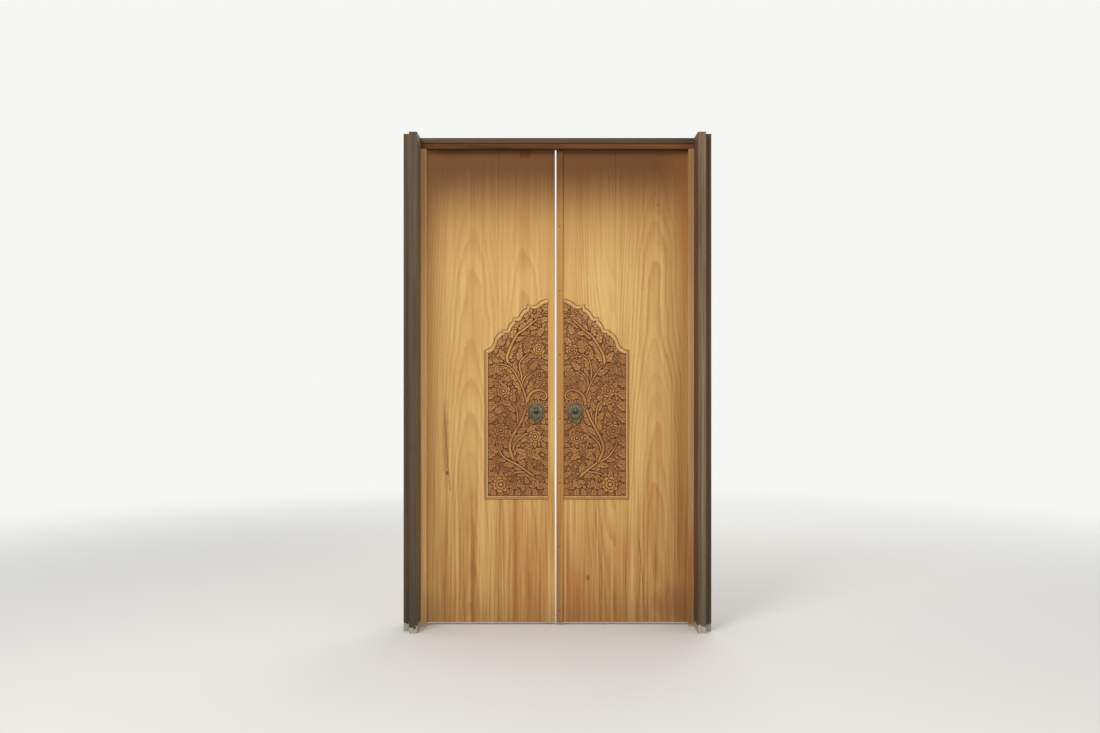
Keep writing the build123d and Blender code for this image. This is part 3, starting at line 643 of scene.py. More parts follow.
def weathered(name, light, dark, seed, inner=None, across=False):
    """Grey weathered timber with open grain, an inner side given its own painted light and shade,
    and a mortared foot.
    """
    material, tree, shader, place = new_material(name)
    grain = board_grain(tree, place, seed, (0.9, 0.25), 0.01, 0.006, across=across)
    factor = (grain["Rings"] * 0.35).calc(
        "ADD", grain["Streaks"].fade(0.35, 0.66) * 0.65, clamp=True
    )
    colour = tint(tree, light, dark, factor)
    colour = tint(tree, colour, WEATHERED_RED, grain["Cloud"].fade(0.4, 0.62), 0.45)
    # The inner side is brought to its own tone: painted light on the left post, painted shade on
    # the right.
    if inner:
        x, _, _ = axes_of(tree, place)
        inner_side_painted_light = x.unsigned().fade(POST_INNER_SIDE + 4 * MM, POST_INNER_SIDE + 0.5 * MM)
        colour = tint(tree, colour, inner, inner_side_painted_light, 0.75)
    splash = place_group(
        tree, "splashed_foot", place, {"Dirt Height": 0.5, "Mortar Height": 35 * MM}
    )
    pore = grain["Pores"] * 0.5
    colour = tint(tree, colour, POST_DIRT, splash["Dirt"], 0.5)
    colour = tint(tree, colour, POST_MORTAR, splash["Mortar"], 0.85)
    colour = tint(tree, colour, darker(dark, 0.4), pore)
    finish(tree, shader, 0.3, {"Base Color": colour, "Roughness": factor * 0.2 + 0.62})
    bump(tree, shader, factor * -1.0 - pore, 0.6, 1.2 * MM)
    return material


def carved_timber(settings):
    """Carved wood: rubbed light tops over red-brown flanks that darken with depth as painted shade,
    a painted highlight on the crests, and grime with painted shade in the hollows.
    """
    material, tree, shader, place = new_material("carved_timber")
    grain = board_grain(tree, place, 31.0, (0.15, 0.06), 0.02, 0.008)
    _, _, z = axes_of(tree, place)
    top = stored(tree, "level").fade(0.02, 0.8)
    grime_and_shade = stored(tree, "hollow").fade(0.04, 0.5)
    upper = z.fade(1.1, 1.6)
    lower = (upper * -1.0) + 1.0
    dust = noise(tree, place, 38.0, 4.0).fade(0.48, 0.7) * (top * 0.15)
    colour = tint(tree, CARVED_FLANK, settings.carving_light, top)
    # Lighter towards the top, dark streaks, red clouds, a painted highlight on the crests, grime
    # and painted shade in the hollows, dark blotches, darker towards the bottom, and dust on the
    # tops.
    for shade, mask, strength in (
        ((0.62, 0.34, 0.13), upper, 0.25),
        ((0.22, 0.085, 0.03), grain["Streaks"].fade(0.38, 0.68), 0.3),
        ((0.36, 0.13, 0.055), grain["Cloud"].fade(0.35, 0.65), 0.3),
        ((0.76, 0.45, 0.18), stored(tree, "crest"), 0.58),
        (settings.carving_dark, grime_and_shade, 0.94),
        ((0.20, 0.068, 0.020), noise(tree, place, 9.0, 4.0, 0.6).fade(0.45, 0.64), 0.5),
        ((0.20, 0.078, 0.026), lower, 0.2),
        ((0.52, 0.37, 0.22), dust, 1.0),
    ):
        colour = tint(tree, colour, shade, mask, strength)
    finish(tree, shader, 0.2, {"Base Color": colour, "Roughness": grime_and_shade * 0.4 + 0.42})
    cuts = streaky(tree, place, 90.0, 260.0, 2.0)
    bump(tree, shader, cuts - grain["Pores"], 0.3, 0.5 * MM)
    return material


def moulded_timber(settings):
    """The border of the carving: light rubbed fillets, a cove painted darker and redder as painted
    shade, and a groove painted dark as painted shade with grime.
    """
    material, tree, shader, place = new_material("moulded_timber")
    grain = board_grain(tree, place, 47.0, (0.2, 0.08), 0.02, 0.008)
    colour = tint(tree, (0.66, 0.385, 0.15), (0.47, 0.24, 0.085), grain["Rings"])
    # The cove takes painted shade, the groove painted shade with grime.
    for shade, mask, strength in (
        ((0.42, 0.19, 0.066), stored(tree, "cove"), 0.7),
        ((0.27, 0.115, 0.04), grain["Streaks"].fade(0.4, 0.7), 0.35),
        (settings.carving_dark, stored(tree, "groove"), 0.9),
    ):
        colour = tint(tree, colour, shade, mask, strength)
    finish(tree, shader, 0.35, {"Base Color": colour, "Roughness": 0.55})
    bump(tree, shader, grain["Streaks"] - grain["Pores"], 0.3, 0.4 * MM)
    return material


def plate_painted_shade(tree, place):
    """Where painted shade lies on both pulls' plates: a painted shadow under the eye and painted
    shade in two round grooves.
    """
    x, _, z = axes_of(tree, place)
    painted_shade = 0.0
    for side in SIDES:
        across = x - PULL_X[side] * MM
        up = z - PULL_Z * MM
        off, under = across / SHADE_WIDTH, (up + SHADE_DROP) / SHADE_HEIGHT
        painted_shade = (off * off + under * under).fade(1.4, 0.5).larger(painted_shade)
        out = (across * across + up * up).calc("SQRT")
        for groove in PLATE_GROOVES:
            painted_shade = ((out - groove).unsigned().fade(3.2 * MM, 1 * MM) * 0.75).larger(painted_shade)
    return painted_shade


def bronze(name, patina, rubbed, painted_shade=0.0):
    """Cast bronze with grey-green patina, bright where it is rubbed, with a painted shadow under
    the eye.
    """
    material, tree, shader, place = new_material(name)
    spots = noise(tree, place, 130.0, 5.0, 0.62).fade(0.4, 0.66)
    polish = noise(tree, place, 70.0, 2.0).fade(0.4, 0.6) * rubbed
    colour = tint(tree, patina, (0.055, 0.05, 0.032), spots, 0.75)
    bloom = noise(tree, place, 46.0, 3.0).fade(0.5, 0.72)
    colour = tint(tree, colour, (0.19, 0.20, 0.12), bloom, 0.5)
    colour = tint(tree, colour, BARE_BRONZE, polish)
    # A painted shadow under the eye and painted shade in the plate's grooves.
    if painted_shade:
        colour = tint(tree, colour, (0.012, 0.010, 0.007), plate_painted_shade(tree, place), painted_shade)
    finish(tree, shader, 0.5, {
        "Base Color": colour, "Metallic": polish * 0.6 + 0.25, "Roughness": polish * -0.25 + 0.62,
    })
    bump(tree, shader, spots, 0.35, 0.4 * MM)
    return material


def forged_iron(name, base, rust):
    """Dark forged iron with hammer marks and rust in its skin."""
    material, tree, shader, place = new_material(name)
    skin = noise(tree, place, 90.0, 5.0, 0.65).fade(0.45, 0.68)
    rusty = skin * rust
    finish(tree, shader, 0.5, {
        "Base Color": tint(tree, base, (0.16, 0.062, 0.025), rusty),
        "Metallic": rusty * -1.0 + 0.85, "Roughness": skin * 0.3 + 0.45,
    })
    bump(tree, shader, noise(tree, place, 34.0, 2.0) + skin * 0.3, 0.35, 1 * MM)
    return material


def pale_floor():
    """A plain matte floor that fades out into the background."""
    material, tree, shader, place = new_material("pale_floor")
    far = add_node(tree, "ShaderNodeVectorMath", {0: place}, operation="LENGTH").outputs["Value"]
    finish(tree, shader, 0.1, {
        "Base Color": opaque(FLOOR_COLOUR), "Roughness": 0.8,
        "Alpha": Value(tree, far).fade(*FLOOR_END),
    })
    return material


# Mesh helpers


def finish_node(names, material):
    """Give carried-over nodes of the model their material."""
    for name in names:
        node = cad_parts[name]
        node.data.materials.clear()
        node.data.materials.append(material)


def new_piece(name, mesh, material, body, replaced=()):
    """A finished piece: linked, painted, riding on its body and standing for its nodes."""
    mesh.name = name
    mesh.materials.clear()
    mesh.materials.append(material)
    piece = bpy.data.objects.new(name, mesh)
    bpy.context.scene.collection.objects.link(piece)
    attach(piece, body)
    if replaced:
        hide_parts(*replaced)
    return piece


def mesh_from(vertices, faces, smooth=True):
    """A mesh from its points and faces, with its doubles merged and its faces outwards."""
    shape = bmesh.new()
    points = [shape.verts.new(place) for place in vertices]
    for face in faces:
        shape.faces.new([points[i] for i in face])
    bmesh.ops.remove_doubles(shape, verts=shape.verts, dist=DOUBLE)
    bmesh.ops.recalc_face_normals(shape, faces=shape.faces)
    mesh = bpy.data.meshes.new("shape")
    shape.to_mesh(mesh)
    shape.free()
    mesh.polygons.foreach_set("use_smooth", [smooth] * len(mesh.polygons))
    return mesh


def band_faces(rows, count, closed_rows=False, closed_band=True):
    """Quads between rows of points of a given count, closed round or left open."""
    faces = []
    for row in range(rows if closed_rows else rows - 1):
        here, there = row * count, (row + 1) % rows * count
        for i in range(count if closed_band else count - 1):
            j = (i + 1) % count
            faces.append([here + i, here + j, there + j, there + i])
    return faces


def set_values(mesh, name, values):
    """Store a value for each point of a mesh."""
    layer = mesh.attributes.new(name, "FLOAT", "POINT")
    layer.data.foreach_set("value", np.asarray(values, dtype=np.float32))


# Carved relief


def smooth_line(route, step=2.0):
    """Points along a smooth curve through the places of a route, and the way at each."""
    places = [np.array(place, float) for place in route]
    places = [2 * places[0] - places[1], *places, 2 * places[-1] - places[-2]]
    line = []
    for i in range(1, len(places) - 2):
        p0, p1, p2, p3 = places[i - 1:i + 3]
        count = max(2, int(np.linalg.norm(p2 - p1) / step))
        for k in range(count):
            t = k / count
            line.append(0.5 * (
                2 * p1 + (p2 - p0) * t + (2 * p0 - 5 * p1 + 4 * p2 - p3) * t ** 2
                + (3 * p1 - p0 - 3 * p2 + p3) * t ** 3
            ))
    line.append(places[-2])
    line = np.array(line)
    way = np.gradient(line, axis=0)
    return line, way / np.linalg.norm(way, axis=1)[:, None]


def arc_points(first, middle, last, count):
    """Points on the arc through three places."""
    (ax, ay), (bx, by), (cx, cy) = first, middle, last
    a, b, c = ax**2 + ay**2, bx**2 + by**2, cx**2 + cy**2
    d = 2 * (ax * (by - cy) + bx * (cy - ay) + cx * (ay - by))
    ux = (a * (by - cy) + b * (cy - ay) + c * (ay - by)) / d
    uy = (a * (cx - bx) + b * (ax - cx) + c * (bx - ax)) / d
    radius = math.hypot(ax - ux, ay - uy)
    start = math.atan2(ay - uy, ax - ux)
    end = math.atan2(cy - uy, cx - ux)
    turn = (end - start + math.pi) % math.tau - math.pi
    angles = [start + turn * i / count for i in range(count + 1)]
    return [(ux + radius * math.cos(angle), uy + radius * math.sin(angle)) for angle in angles]


def scalloped_top(count=7):
    """Points along the scalloped top of a panel, from its inner edge to its shoulder."""
    points = []
    for cusp in CUSPS:
        points += arc_points(*cusp[:3], count) + arc_points(*cusp[2:], count)[1:]
    return np.array(points)


TOP = scalloped_top()


def below_top(across, up, inset):
    """How far a place lies under the scalloped top that has moved in by inset."""
    return np.interp(across + CUSP_SLANT * inset, TOP[:, 0], TOP[:, 1]) - inset - up


class Relief:
    """Heights of a panel's carving above its ground, in millimetres, on a square grid."""

    groove = 3.2
    shoulder = 2.4

    def __init__(self, side, pitch):
        self.width = PANEL_WIDTH[side]
        self.across = np.arange(INNER_START, self.width - RELIEF_MARGIN + pitch, pitch)
        self.up = np.arange(RELIEF_MARGIN, PANEL_HEIGHT, pitch)
        self.u, self.v = np.meshgrid(self.across, self.up, indexing="ij")
        self.height = np.zeros_like(self.u)
        self.pitch = pitch

    def window(self, low, high):
        """The part of the grid between two corners."""
        i0, i1 = np.searchsorted(self.across, (low[0], high[0]))
        j0, j1 = np.searchsorted(self.up, (low[1], high[1]))
        return slice(max(i0 - 1, 0), i1 + 1), slice(max(j0 - 1, 0), j1 + 1)

    def lay(self, part, inside, top):
        """Lay a form over what is there, with a cut round it.

        inside is how far each place lies in from the form's edge.
        """
        old = self.height[part]
        moat = np.clip(1 + inside / self.groove, 0, 1)
        around = old * (1 - 0.8 * moat)
        rise = np.clip(inside / self.shoulder, 0, 1)
        rise = rise * rise * (3 - 2 * rise)
        form = old * 0.25 * (1 - rise) + top * rise
        self.height[part] = np.where(inside > 0, np.maximum(form, old * 0.2), around)

    def stem(self, route, root_width, tip_width, height):
        """A ridged stem along a route."""
        line, way = smooth_line(route)
        reach = max(root_width, tip_width) + self.groove
        part = self.window(line.min(0) - reach, line.max(0) + reach)
        u, v = self.u[part], self.v[part]
        du = u[..., None] - line[:, 0]
        dv = v[..., None] - line[:, 1]
        nearest = np.argmin(du * du + dv * dv, axis=-1)
        pick = np.take_along_axis
        du = pick(du, nearest[..., None], -1)[..., 0]
        dv = pick(dv, nearest[..., None], -1)[..., 0]
        t = nearest / (len(line) - 1)
        ends = np.minimum(nearest, len(line) - 1 - nearest) / 11
        half = (root_width + (tip_width - root_width) * t) / 2 * np.clip(0.3 + 0.7 * ends, 0, 1)
        off = np.hypot(du, dv)
        x = np.clip(off / half, 0, 1)
        ridge = 0.8 + 0.2 * np.sqrt(1 - x * x) - 0.13 * np.exp(-((x - 0.52) / 0.16) ** 2)
        self.lay(part, half - off, height * ridge)

    def leaf(self, root, turn, length, width, height, bend=0.0, lobes=3):
        """A lobed leaf from its root along a turn in degrees, with a midrib and scooped lobes."""
        angle = math.radians(turn)
        c, s = math.cos(angle), math.sin(angle)
        reach = length + width
        part = self.window((root[0] - reach, root[1] - reach), (root[0] + reach, root[1] + reach))
        du, dv = self.u[part] - root[0], self.v[part] - root[1]
        x = (du * c + dv * s) / length
        y = (-du * s + dv * c) - bend * length * np.clip(x, 0, 1.2) ** 2
        side = np.abs(y) / (width / 2)
        t = np.clip(x, 0, 1)
        body = np.sin(math.pi * t ** 0.8) ** 0.62
        slant = np.clip(t - 0.2 * side, 0, 1)
        lobe = np.abs(np.sin(math.pi * (lobes + 0.35) * slant)) ** 0.6
        half = width / 2 * body * (0.6 + 0.4 * lobe)
        ends = np.minimum(x, 1 - x) * length
        inside = np.minimum(half - np.abs(y), ends + 1.5)
        share = np.clip(np.abs(y) / np.maximum(half, 0.5), 0, 1)
        scoop = 0.62 + 0.16 * lobe + 0.26 * share ** 2
        veins = 0.06 * np.cos(math.tau * lobes * (t - 0.45 * side))
        top = height * (scoop + veins) * (1 - 0.3 * np.exp(-(y / 1.6) ** 2))
        self.lay(part, inside, top * (1.05 - 0.2 * t))

    def spray(self, root, turn, spread, count, length, width, height=9.0):
        """A fan of leaves from one root, the middle one longest and last."""
        order = sorted(range(count), key=lambda i: -abs(2 * i - count + 1))
        for i in order:
            share = (i / (count - 1) - 0.5) if count > 1 else 0.0
            size = 1 - 0.35 * abs(share)
            self.leaf(
                root, turn + share * spread, length * size, 1.3 * width * size, height,
                bend=0.35 * share,
            )

    def rosette(self, centre, radius, petals, height=13.5):
        """A flower of two rings of cupped petals round a domed heart."""
        part = self.window(
            (centre[0] - radius - 4, centre[1] - radius - 4),
            (centre[0] + radius + 4, centre[1] + radius + 4),
        )
        du, dv = self.u[part] - centre[0], self.v[part] - centre[1]
        r, angle = np.hypot(du, dv), np.arctan2(dv, du)
        angle = angle + 0.16 * np.sin(2 * angle + centre[1])
        for share, turn, lift in ((1.0, 0.0, 0.8), (0.62, math.pi / petals, 1.0)):
            petal = np.abs(np.cos(petals * (angle + turn) / 2)) ** 0.5
            edge = radius * share * (0.72 + 0.28 * petal)
            x = np.clip(r / edge, 0, 1)
            rib = 1 - 0.14 * np.exp(-((np.abs(np.sin(petals * (angle + turn) / 2))) / 0.16) ** 2)
            cup = (0.58 + 0.42 * x ** 1.8) * (0.8 + 0.2 * petal)
            self.lay(part, edge - r, height * lift * cup * rib)
        heart = radius * 0.25
        dome = np.sqrt(np.clip(1 - (r / (heart * 1.15)) ** 2, 0, 1))
        self.lay(part, heart - r, height * (0.8 + 0.4 * dome))

    def bud(self, centre, radius, height=8.5):
        """A round bud."""
        part = self.window(
            (centre[0] - radius - 4, centre[1] - radius - 4),
            (centre[0] + radius + 4, centre[1] + radius + 4),
        )
        r = np.hypot(self.u[part] - centre[0], self.v[part] - centre[1])
        dome = np.sqrt(np.clip(1 - (r / (radius * 1.1)) ** 2, 0, 1))
        self.lay(part, radius - r, height * (0.45 + 0.55 * dome))

    def free_room(self, spots, step=4.0):
        """Distance from each spot to the nearest raised place."""
        stride = max(1, round(step / self.pitch))
        raised = self.height[::stride, ::stride] > 2.0
        taken = np.column_stack([grid[::stride, ::stride][raised] for grid in (self.u, self.v)])
        gaps = spots[:, None, :] - taken[None, :, :]
        return np.sqrt((gaps ** 2).sum(-1).min(1))

    def field(self, inset):
        """How far each place lies inside the field that a border of that width leaves."""
        return np.minimum.reduce([
            below_top(self.u, self.v, inset), self.width - inset - self.u, self.v - inset,
        ])


def fill_gaps(relief, rng):
    """Small leaves and buds in the room that is left, larger ones first."""
    outer = relief.width - BORDER_INSET
    for size, tries in FILLERS:
        spots = np.column_stack([
            rng.uniform(4, outer, tries), rng.uniform(BORDER_INSET, PANEL_HEIGHT - 8, tries)
        ])
        keep = np.minimum.reduce([
            below_top(spots[:, 0], spots[:, 1], BORDER_INSET),
            outer - spots[:, 0], spots[:, 1] - BORDER_INSET,
        ]) > size * 0.25
        spots = spots[keep]
        placed = []
        for spot, gap in zip(spots, relief.free_room(spots)):
            if gap < size * 0.8:
                continue
            if any(math.hypot(spot[0] - x, spot[1] - y) < 2.1 * size for x, y in placed):
                continue
            placed.append(tuple(spot))
            turn = rng.uniform(20, 160) if rng.random() < 0.75 else rng.uniform(180, 360)
            if size < 6 and rng.random() < 0.5:
                relief.bud(spot, size)
                continue
            length = size * 2.3
            root = (
                spot[0] - math.cos(math.radians(turn)) * length * 0.5,
                spot[1] - math.sin(math.radians(turn)) * length * 0.5,
            )
            relief.leaf(root, turn, length, size * 1.6, rng.uniform(6.5, 9.0),
                        bend=rng.uniform(-0.3, 0.3), lobes=3 if size > 7 else 2)


def edge_leaves(relief):
    """Rows of leaves that grow in from the edges of a panel."""
    width = relief.width
    for i in range(12):
        up = 30 + 60 * i
        relief.leaf((width - 13, up), 134, 60, 36, 7.5, bend=0.25)
        relief.leaf((width - 15, up + 31), 152, 42, 27, 7.0, bend=0.2)
        relief.leaf((-3, up + 22), 46, 52, 31, 7.0, bend=-0.25)
    for i in range(7):
        relief.leaf((18 + 44 * i, 13), 92 + 12 * (-1) ** i, 46, 33, 7.0)
    for i, (x, y) in enumerate(TOP[3:-4:5]):
        relief.leaf((x - 12, y - 15), -116 + 14 * (i % 3), 42, 29, 7.0, bend=0.2)


def stem_leaves(relief, stems, rng):
    """Pairs of leaves along the stems, which are laid over them later."""
    for route, *_ in stems:
        line, way = smooth_line(route)
        lengths = np.cumsum(np.hypot(*np.diff(line, axis=0).T))
        count = int(lengths[-1] / 44)
        for i in range(count):
            at = int((i + 0.6) / count * (len(line) - 1))
            angle = math.degrees(math.atan2(way[at][1], way[at][0]))
            for flank in (1, -1):
                size = rng.uniform(0.75, 1.15)
                relief.leaf(
                    line[at], angle + flank * rng.uniform(38, 66), 60 * size, 36 * size,
                    rng.uniform(7.0, 9.0), bend=-0.3 * flank,
                )


def seat_pull(relief, side):
    """A crown of small leaves round the pull, and the flat seat of its plate."""
    seat = np.array([SIDES[side] * (PULL_X[side] - INNER_EDGE[side]), PULL_Z - PANEL_FOOT])
    for i in range(11):
        turn = 12 + 15.6 * i
        way = np.array([math.cos(math.radians(turn)), math.sin(math.radians(turn))])
        relief.leaf(seat + 40 * way, turn, 22, 13, 8.5, lobes=2)
    off = np.hypot(relief.u - seat[0], relief.v - seat[1])
    flat = GROUND_Y - SEAT_Y - 0.15
    relief.height = np.where(off < SEAT_RADIUS, np.minimum(relief.height, flat), relief.height)
    relief.height = np.where(off < SEAT_RADIUS - 2, flat, relief.height)


def carve_panel(side, pitch, seed):
    """The whole relief of a panel."""
    relief = Relief(side, pitch)
    rng = np.random.default_rng(seed + SIDES[side])
    edge_leaves(relief)
    stem_leaves(relief, STEMS[side], rng)
    for spray in SPRAYS:
        relief.spray(*spray)
    fill_gaps(relief, rng)
    for stem in STEMS[side]:
        relief.stem(*stem)
    for flower in FLOWERS[side]:
        relief.rosette(*flower)
    seat_pull(relief, side)
    edge = np.clip(relief.field(FIELD_INSET) / 2.0, 0, 1)
    inner = np.clip((relief.u - INNER_START) / 2.0, 0, 1)
    relief.height *= edge * (0.25 + 0.75 * inner)
    wander = relief.u * 0.21 + 3 * np.sin(relief.v * 0.013)
    tool_marks = 0.35 + 0.35 * np.sin(wander) * np.sin(relief.v * 0.17)
    relief.height += np.where(relief.height < 0.8, tool_marks, 0.0)
    return relief


def box_blur(values, reach):
    """Values averaged over a square round each place."""
    for axis in (0, 1):
        padded = np.concatenate([
            np.repeat(values.take([0], axis), reach + 1, axis), values,
            np.repeat(values.take([-1], axis), reach, axis),
        ], axis)
        sums = np.cumsum(padded, axis)
        count = values.shape[axis]
        high = sums.take(range(2 * reach + 1, 2 * reach + 1 + count), axis)
        low = sums.take(range(count), axis)
        values = (high - low) / (2 * reach + 1)
    return values


def relief_mesh(relief, side):
    """A closed mesh of the relief, down to the floor of its pocket."""
    rows, columns = relief.height.shape
    kept = relief.field(RELIEF_MARGIN - 1.0) > 0
    kept &= relief.v < PANEL_HEIGHT - RELIEF_MARGIN
    number = -np.ones((rows, columns), int)
    number[kept] = np.arange(kept.sum())
    s = SIDES[side]
    near, wide = box_blur(relief.height, 1), box_blur(box_blur(relief.height, 3), 3)
    soft = 0.6 * relief.height + 0.4 * near
    x = (INNER_EDGE[side] + s * relief.u[kept]) * MM
    y = (GROUND_Y - soft[kept]) * MM
    z = (PANEL_FOOT + relief.v[kept]) * MM
    corners = [number[:-1, :-1], number[1:, :-1], number[1:, 1:], number[:-1, 1:]]
    whole = np.minimum.reduce(corners) >= 0
    quads = np.column_stack([corner[whole] for corner in corners])
    if s < 0:
        quads = quads[:, ::-1]
    mesh = bpy.data.meshes.new("relief")
    mesh.from_pydata(np.column_stack([x, y, z]).tolist(), [], quads.tolist())
    # These values feed the carved material: level darkens the deep places as painted shade, hollow
    # carries grime and painted shade, and crest lays a painted highlight on the crests.
    dip = 0.75 * (wide - relief.height) + 2.2 * (near - relief.height)
    set_values(mesh, "level", relief.height[kept] / 13.0)
    set_values(mesh, "hollow", np.clip(dip[kept] / 6.0, 0, 1))
    rise = (relief.height - near) + 0.3 * (relief.height - wide)
    set_values(mesh, "crest", np.clip((rise[kept] - 0.5) / 1.8, 0, 1))
    shape = bmesh.new()
    shape.from_mesh(mesh)
    loose = [point for point in shape.verts if not point.link_faces]
    bmesh.ops.delete(shape, geom=loose, context="VERTS")
    rim = [tuple(edge.verts) for edge in shape.edges if edge.is_boundary]
    back = {}
    for pair in rim:
        for point in pair:
            if point not in back:
                place = (point.co.x, POCKET_Y * MM, point.co.z)
                back[point] = shape.verts.new(place, point)
    for a, b in rim:
        shape.faces.new([a, b, back[b], back[a]])
    bmesh.ops.holes_fill(shape, edges=[edge for edge in shape.edges if edge.is_boundary], sides=0)
    bmesh.ops.triangulate(shape, faces=[face for face in shape.faces if len(face.verts) > 4])
    bmesh.ops.recalc_face_normals(shape, faces=shape.faces)
    shape.to_mesh(mesh)
    shape.free()
    mesh.polygons.foreach_set("use_smooth", [True] * len(mesh.polygons))
    return mesh


def border_line(side, crest, cove):
    """One line of the border: round the scallops by its crest, then down and along the foot."""
    width = PANEL_WIDTH[side]
    inset = crest[0]
    moved = TOP - (CUSP_SLANT * inset, inset)
    first = int(np.argmax(moved[:, 0] > BORDER_START))
    if first:
        a, b = moved[first - 1], moved[first]
        moved[:first] = a + (b - a) * (BORDER_START - a[0]) / (b[0] - a[0])
    line = [(u, v, crest) for u, v in moved]
    inset = cove[0]
    corners = [
        (width - inset, SHOULDER - inset), (width - inset, inset), (BORDER_START, inset),
    ]
    line.append((*corners[0], cove))
    for (u0, v0), (u1, v1) in zip(corners, corners[1:]):
        for i in range(1, BORDER_STEPS + 1):
            t = i / BORDER_STEPS
            line.append((u0 + (u1 - u0) * t, v0 + (v1 - v0) * t, cove))
    return line


def border_mesh(side):
    """The border moulding, crested along the scallops and coved down the side and the foot."""
    lines = [border_line(side, crest, cove) for crest, cove in zip(CREST, COVE)]
    rows, count = len(lines), len(lines[0])
    points, coves, grooves = [], [], []
    for line in lines:
        for u, v, (_, height, cove, groove) in line:
            x = INNER_EDGE[side] + SIDES[side] * u
            points.append((x * MM, (GROUND_Y - height) * MM, (PANEL_FOOT + v) * MM))
            coves.append(cove)
            grooves.append(groove)
    faces = band_faces(rows, count, closed_rows=True, closed_band=False)
    for end in (0, count - 1):
        faces.append([row * count + end for row in range(rows)])
    mesh = bpy.data.meshes.new("border")
    mesh.from_pydata(points, [], faces)
    set_values(mesh, "cove", coves)
    set_values(mesh, "groove", grooves)
    shape = bmesh.new()
    shape.from_mesh(mesh)
    bmesh.ops.remove_doubles(shape, verts=shape.verts, dist=DOUBLE)
    bmesh.ops.dissolve_degenerate(shape, edges=shape.edges, dist=DOUBLE)
    bmesh.ops.recalc_face_normals(shape, faces=shape.faces)
    shape.to_mesh(mesh)
    shape.free()
    return mesh


# Geometry Nodes


def new_tree(name, inputs):
    """A geometry tree with its named inputs, and its input and output nodes."""
    tree = bpy.data.node_groups.new(name, "GeometryNodeTree")
    for label, kind in inputs:
        tree.interface.new_socket(label, in_out="INPUT", socket_type=kind)
    tree.interface.new_socket("Geometry", in_out="OUTPUT", socket_type="NodeSocketGeometry")
    entry = tree.nodes.new("NodeGroupInput").outputs
    leave = tree.nodes.new("NodeGroupOutput").inputs
    return tree, entry, leave


def end_tree(tree, entry, leave, geometry):
    """End a tree in Realize Instances and Set Material."""
    real = add_node(tree, "GeometryNodeRealizeInstances", {0: geometry})
    painted = add_node(
        tree, "GeometryNodeSetMaterial", {0: real.outputs[0], "Material": entry["Material"]}
    )
    tree.links.new(painted.outputs[0], leave["Geometry"])


def build_heads_tree():
    """Heads on points, turned as their points say and scaled to a radius."""
    tree, entry, leave = new_tree(
        "heads_on_points",
        [
            ("Points", "NodeSocketGeometry"), ("Head", "NodeSocketObject"),
            ("Radius", "NodeSocketFloat"), ("Material", "NodeSocketMaterial"),
        ],
    )
    head = add_node(tree, "GeometryNodeObjectInfo", {"Object": entry["Head"]})
    turn = add_node(
        tree, "GeometryNodeInputNamedAttribute", {"Name": "turn"}, data_type="FLOAT_VECTOR"
    )
    placed = add_node(
        tree,
        "GeometryNodeInstanceOnPoints",
        {
            "Points": entry["Points"], "Instance": head.outputs["Geometry"],
            "Rotation": turn.outputs["Attribute"], "Scale": entry["Radius"],
        },
    )
    end_tree(tree, entry, leave, placed.outputs[0])


def build_beads_tree():
    """A ring of beads."""
    tree, entry, leave = new_tree(
        "ring_of_beads",
        [
            ("Points", "NodeSocketGeometry"), ("Count", "NodeSocketInt"),
            ("Ring Radius", "NodeSocketFloat"), ("Bead Radius", "NodeSocketFloat"),
            ("Centre", "NodeSocketVector"), ("Material", "NodeSocketMaterial"),
        ],
    )
    ring = add_node(
        tree, "GeometryNodeMeshCircle", {"Vertices": entry["Count"], "Radius": entry["Ring Radius"]}
    )
    bead = add_node(
        tree, "GeometryNodeMeshUVSphere",
        {"Segments": 10, "Rings": 6, "Radius": entry["Bead Radius"]},
    )
    smooth = add_node(tree, "GeometryNodeSetShadeSmooth", {0: bead.outputs[0]})
    placed = add_node(
        tree, "GeometryNodeInstanceOnPoints",
        {"Points": ring.outputs[0], "Instance": smooth.outputs[0]},
    )
    set_up = add_node(
        tree, "GeometryNodeTransform",
        {
            "Geometry": placed.outputs[0], "Translation": entry["Centre"],
            "Rotation": TO_FRONT,
        },
    )
    end_tree(tree, entry, leave, set_up.outputs[0])


def run_tree(name, points, inputs):
    """The plain mesh that a geometry tree makes of some points."""
    holder = bpy.data.objects.new("holder", points)
    bpy.context.scene.collection.objects.link(holder)
    modifier = holder.modifiers.new(name, "NODES")
    tree = bpy.data.node_groups[name]
    modifier.node_group = tree
    for item in tree.interface.items_tree:
        if item.in_out == "INPUT" and item.name in inputs:
            modifier[item.identifier] = inputs[item.name]
    holder.update_tag()
    bpy.context.view_layer.update()
    graph = bpy.context.evaluated_depsgraph_get()
    mesh = bpy.data.meshes.new_from_object(
        holder.evaluated_get(graph), preserve_all_data_layers=True, depsgraph=graph
    )
    holder.modifiers.clear()
    bpy.data.objects.remove(holder)
    return mesh


def points_mesh(places):
    """A mesh of points, each with the turn of what stands on it."""
    mesh = bpy.data.meshes.new("points")
    mesh.from_pydata([place for place, _ in places], [], [])
    layer = mesh.attributes.new("turn", "FLOAT_VECTOR", "POINT")
    layer.data.foreach_set("vector", [value for _, turn in places for value in turn])
    return mesh


# Ring pulls, nails and screws


